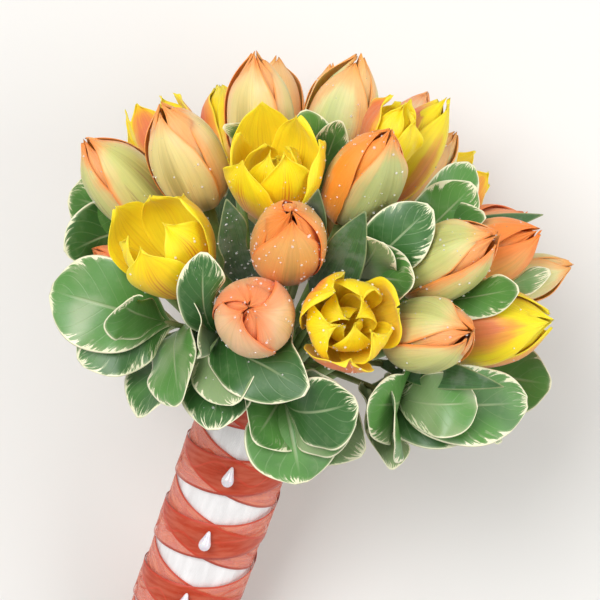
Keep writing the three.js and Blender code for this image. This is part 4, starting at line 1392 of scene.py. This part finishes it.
class TULIPS_OT_tape(bpy.types.Operator):
    """Make the tape that ties the stems"""

    bl_idname = "tulips.tape"
    bl_label = "Binding tape"

    def execute(self, context):
        bm = bmesh.new()

        def shape(x, v):
            angle = math.pi * x
            turn = (3 * v + 0.5 * x) % 1
            out = KNOT_RADIUS + 0.6 + 0.45 * turn + 0.12 * math.sin(37 * angle)
            return polar(out, angle, -TIE_BOTTOM + (TIE_BOTTOM - TIE_TOP) * v)

        grow_blade(bm, 96, 20, shape)
        bmesh.ops.remove_doubles(bm, verts=bm.verts, dist=0.01)
        piece(bm, "tape", [tape_finish()], ("binding_tape",), 0.0004)
        return {"FINISHED"}


class TULIPS_OT_satin(bpy.types.Operator):
    """Make the satin wrapped round the stems"""

    bl_idname = "tulips.satin"
    bl_label = "Satin wrap"

    def execute(self, context):
        settings = context.scene.wrap_settings
        bm = bmesh.new()
        lap = SATIN_LAP / SATIN_RADIUS
        height = SATIN_BOTTOM - SATIN_TOP

        def shape(x, v):
            angle = math.pi / 2 + (math.pi + lap / 2) * (1 + x) - lap / 2
            z = -SATIN_BOTTOM + height * v
            out = SATIN_RADIUS - 0.25 + 0.6 * ease(x, 0.9, 0.97)
            dents = wobble(3 * math.cos(angle), 3 * math.sin(angle), 0.03 * z)
            out += 0.16 * math.cos(18 * angle) + 0.22 * dents
            pull = wobble(1.3 * angle + 0.03 * z, 0.11 * z - 0.8 * angle, 4.0)
            return polar(out + 0.25 * pull, angle, z)

        grow_blade(bm, 150, 90, shape)
        cloth = piece(
            bm, "satin", [satin_finish((*settings.satin, 1.0))], ("satin_wrap",),
            settings.satin_thickness,
        )
        return {"FINISHED"}


class TULIPS_OT_ribbons(bpy.types.Operator):
    """Make the two sheer ribbons that criss-cross over the satin"""

    bl_idname = "tulips.ribbons"
    bl_label = "Sheer ribbons"

    def execute(self, context):
        settings = context.scene.wrap_settings
        for name, node, hand, radius in RIBBONS:
            bm = bmesh.new()

            def shape(x, v, hand=hand, radius=radius):
                turns = RIBBON_TURNS * v
                angle = -math.pi / 2 + hand * 2 * math.pi * turns
                middle = RIBBON_FIRST_CROSSING + RIBBON_PITCH * turns
                below = middle + hand * x * RIBBON_WIDTH / 2
                below = min(max(below, SATIN_TOP), SATIN_BOTTOM)
                pucker = wobble(20 * turns, 2.0 * x, radius)
                out = radius + 0.16 * pucker + 0.1 * ease(abs(x), 0.7, 1.0)
                return polar(out, angle, -below)

            grow_blade(bm, 10, 432, shape)
            bmesh.ops.dissolve_degenerate(bm, dist=0.001, edges=bm.edges)
            finish = organza_finish(f"organza_{name}", (*settings.ribbon, 1.0), hand < 0)
            cloth = piece(bm, name, [finish], (node,), settings.ribbon_thickness)
        return {"FINISHED"}


class TULIPS_OT_pins(bpy.types.Operator):
    """Make the pearl-headed pins"""

    bl_idname = "tulips.pins"
    bl_label = "Pearl pins"

    def execute(self, context):
        finishes = [pearl_finish(), metal_finish()]
        slant = Vector((0, math.sin(PIN_SLANT), math.cos(PIN_SLANT)))
        for number, crossing in enumerate(PIN_CROSSINGS, 1):
            below = RIBBON_FIRST_CROSSING + RIBBON_PITCH * crossing
            head = Vector((0, -(WRAP_RADIUS + 0.35 + PEARL_RADIUS), -below))
            bm = bmesh.new()
            verts = [bm.verts.new((x, 0, z)) for x, z in PEARL_OUTLINE]
            edges = [bm.edges.new(pair) for pair in zip(verts, verts[1:])]
            bmesh.ops.spin(
                bm, geom=[*verts, *edges], cent=(0, 0, 0), axis=(0, 0, 1), angle=2 * math.pi, steps=24,
                use_merge=True,
            )
            bmesh.ops.remove_doubles(bm, verts=bm.verts, dist=0.01)
            bmesh.ops.recalc_face_normals(bm, faces=bm.faces)
            bm.transform(Matrix.Translation(head) @ pointing(slant))
            pearl_faces = len(bm.faces)
            neck = head + slant * 2
            rod(bm, neck, neck + SHAFT_WAY * SHAFT_LENGTH, SHAFT_RADIUS, SHAFT_POINT)
            paint(bm, pearl_faces, 1)
            piece(bm, f"pin_{number}", finishes, (f"pearl_pin_{number}",))
        return {"FINISHED"}


# Pieces with drops of water on them, and how many compared with the setting.
WET = {
    "petals_orange_a": 3.0, "petals_orange_b": 1.6, "petals_orange_c": 1.2, "petals_yellow_b": 0.8,
    "petals_yellow_c": 2.0, "petals_apricot_b": 0.4, "petals_olive_a": 0.3, "petals_green_b": 0.6,
    "petals_olive_b": 1.2, "petals_orange_d": 0.6, "petals_flame_e": 0.5, "petals_flame_c": 0.3,
    "petals_olive_c": 0.6, "long_leaf_front_left": 0.5, "petals_yellow_a": 0.3, "leaves_centre": 0.6,
}
SMALLEST_WET = 2e-7  # the smallest face with a drop on it, in square metres
DROP_LIFT = 0.00036  # how far above the middle of a petal's wall the drops start, in metres
DROP_HEIGHT = 0.62  # the height of a drop, as a share of its width


class TULIPS_OT_dew(bpy.types.Operator):
    """Sprinkle drops of water on some of the flowers"""

    bl_idname = "tulips.dew"
    bl_label = "Dew"

    def execute(self, context):
        settings = context.scene.dew_settings
        chance = random.Random(7)
        flat = Matrix.Diagonal((1, 1, DROP_HEIGHT, 1))
        bm = bmesh.new()
        for name, share in WET.items():
            mesh = bpy.data.objects[name].data
            faces = [face for face in mesh.polygons if face.normal.z > -0.1 and face.area > SMALLEST_WET]
            sizes = [face.area for face in faces]
            for face in chance.choices(faces, sizes, k=round(settings.drops * share)):
                a, b, c, d = (mesh.vertices[i].co for i in face.vertices)
                s, t = chance.random(), chance.random()
                here = a.lerp(b, s).lerp(d.lerp(c, s), t)
                size = settings.largest * (0.25 + 0.75 * chance.random() ** 2.5)
                lift = DROP_LIFT + 0.3 * size
                bmesh.ops.create_icosphere(
                    bm, subdivisions=1, radius=size,
                    matrix=Matrix.Translation(here + face.normal * lift) @ pointing(face.normal) @ flat,
                )
        piece(bm, "dew", [water_finish()], settle=Matrix.Identity(4))
        return {"FINISHED"}


class TULIPS_OT_stage(bpy.types.Operator):
    """Set up the table, the light and the camera"""

    bl_idname = "tulips.stage"
    bl_label = "Table, light and camera"

    def execute(self, context):
        settings = context.scene.stage_settings
        scene = context.scene
        bm = bmesh.new()
        bmesh.ops.create_grid(bm, x_segments=1, y_segments=1, size=TABLE_REACH)
        mesh = bpy.data.meshes.new("table")
        bm.to_mesh(mesh)
        bm.free()
        table = bpy.data.objects.new("table", mesh)
        table.location.z = -TABLE_BELOW
        mesh.materials.append(table_finish((*settings.table, 1.0)))
        scene.collection.objects.link(table)

        world = bpy.data.worlds.new("room")
        world.use_nodes = True
        backdrop = world.node_tree.nodes["Background"]
        backdrop.inputs["Color"].default_value = (1.0, 0.99, 0.97, 1.0)
        backdrop.inputs["Strength"].default_value = settings.sky
        scene.world = world

        self.lamp("main_light", *MAIN_LIGHT, settings.key_power)
        self.lamp("side_light", *SIDE_LIGHT, settings.fill_power)

        right, up = polar(1, CAMERA_TURN, 0), polar(1, CAMERA_TURN + math.pi / 2, 0)
        lens = bpy.data.cameras.new("camera")
        lens.lens = CAMERA_LENS
        lens.sensor_width = 36
        camera = bpy.data.objects.new("camera", lens)
        above = Vector((0, 0, settings.distance))
        camera.location = CROSSING + above + right * CAMERA_RIGHT + up * CAMERA_UP
        camera.rotation_euler = (0, 0, CAMERA_TURN)
        scene.collection.objects.link(camera)
        scene.camera = camera
        scene.view_settings.view_transform = "Standard"
        return {"FINISHED"}

    def lamp(self, name, place, size, power):
        """A square soft light that looks at the flowers."""
        light = bpy.data.lights.new(name, "AREA")
        light.size = size
        light.energy = power
        holder = bpy.data.objects.new(name, light)
        holder.location = place
        aim = CROSSING + Vector((0, 0.03, 0.03)) - Vector(place)
        holder.rotation_euler = aim.to_track_quat("-Z", "Y").to_euler()
        bpy.context.scene.collection.objects.link(holder)


OPERATORS = (
    TULIPS_OT_flowers, TULIPS_OT_centres, TULIPS_OT_leaves, TULIPS_OT_long_leaves, TULIPS_OT_twigs,
    TULIPS_OT_stems, TULIPS_OT_tape, TULIPS_OT_satin, TULIPS_OT_ribbons, TULIPS_OT_pins, TULIPS_OT_dew,
    TULIPS_OT_stage,
)


class TULIPS_PT_panel(bpy.types.Panel):
    """Everything that makes the bunch"""

    bl_label = "Bunch of tulips"
    bl_idname = "TULIPS_PT_panel"
    bl_space_type = "VIEW_3D"
    bl_region_type = "UI"
    bl_category = "Tulips"

    def draw(self, context):
        for name, group in SETTINGS.items():
            box = self.layout.box()
            for prop in group.__annotations__:
                box.prop(getattr(context.scene, name), prop)
        for operator in OPERATORS:
            self.layout.operator(operator.bl_idname)


SETTINGS = {
    "tulip_settings": TulipSettings,
    "leaf_settings": LeafSettings,
    "wrap_settings": WrapSettings,
    "dew_settings": DewSettings,
    "stage_settings": StageSettings,
}


def register():
    """Adds the settings, the operators and the panel."""
    for name, group in SETTINGS.items():
        bpy.utils.register_class(group)
        setattr(bpy.types.Scene, name, PointerProperty(type=group))
    for operator in OPERATORS:
        bpy.utils.register_class(operator)
    bpy.utils.register_class(TULIPS_PT_panel)


def unregister():
    """Takes them away again."""
    bpy.utils.unregister_class(TULIPS_PT_panel)
    for operator in reversed(OPERATORS):
        bpy.utils.unregister_class(operator)
    for name, group in reversed(SETTINGS.items()):
        delattr(bpy.types.Scene, name)
        bpy.utils.unregister_class(group)


def main():
    """Makes the bunch."""
    register()
    for operator in OPERATORS:
        group, action = operator.bl_idname.split(".")
        getattr(getattr(bpy.ops, group), action)()


if __name__ == "__main__":
    main()
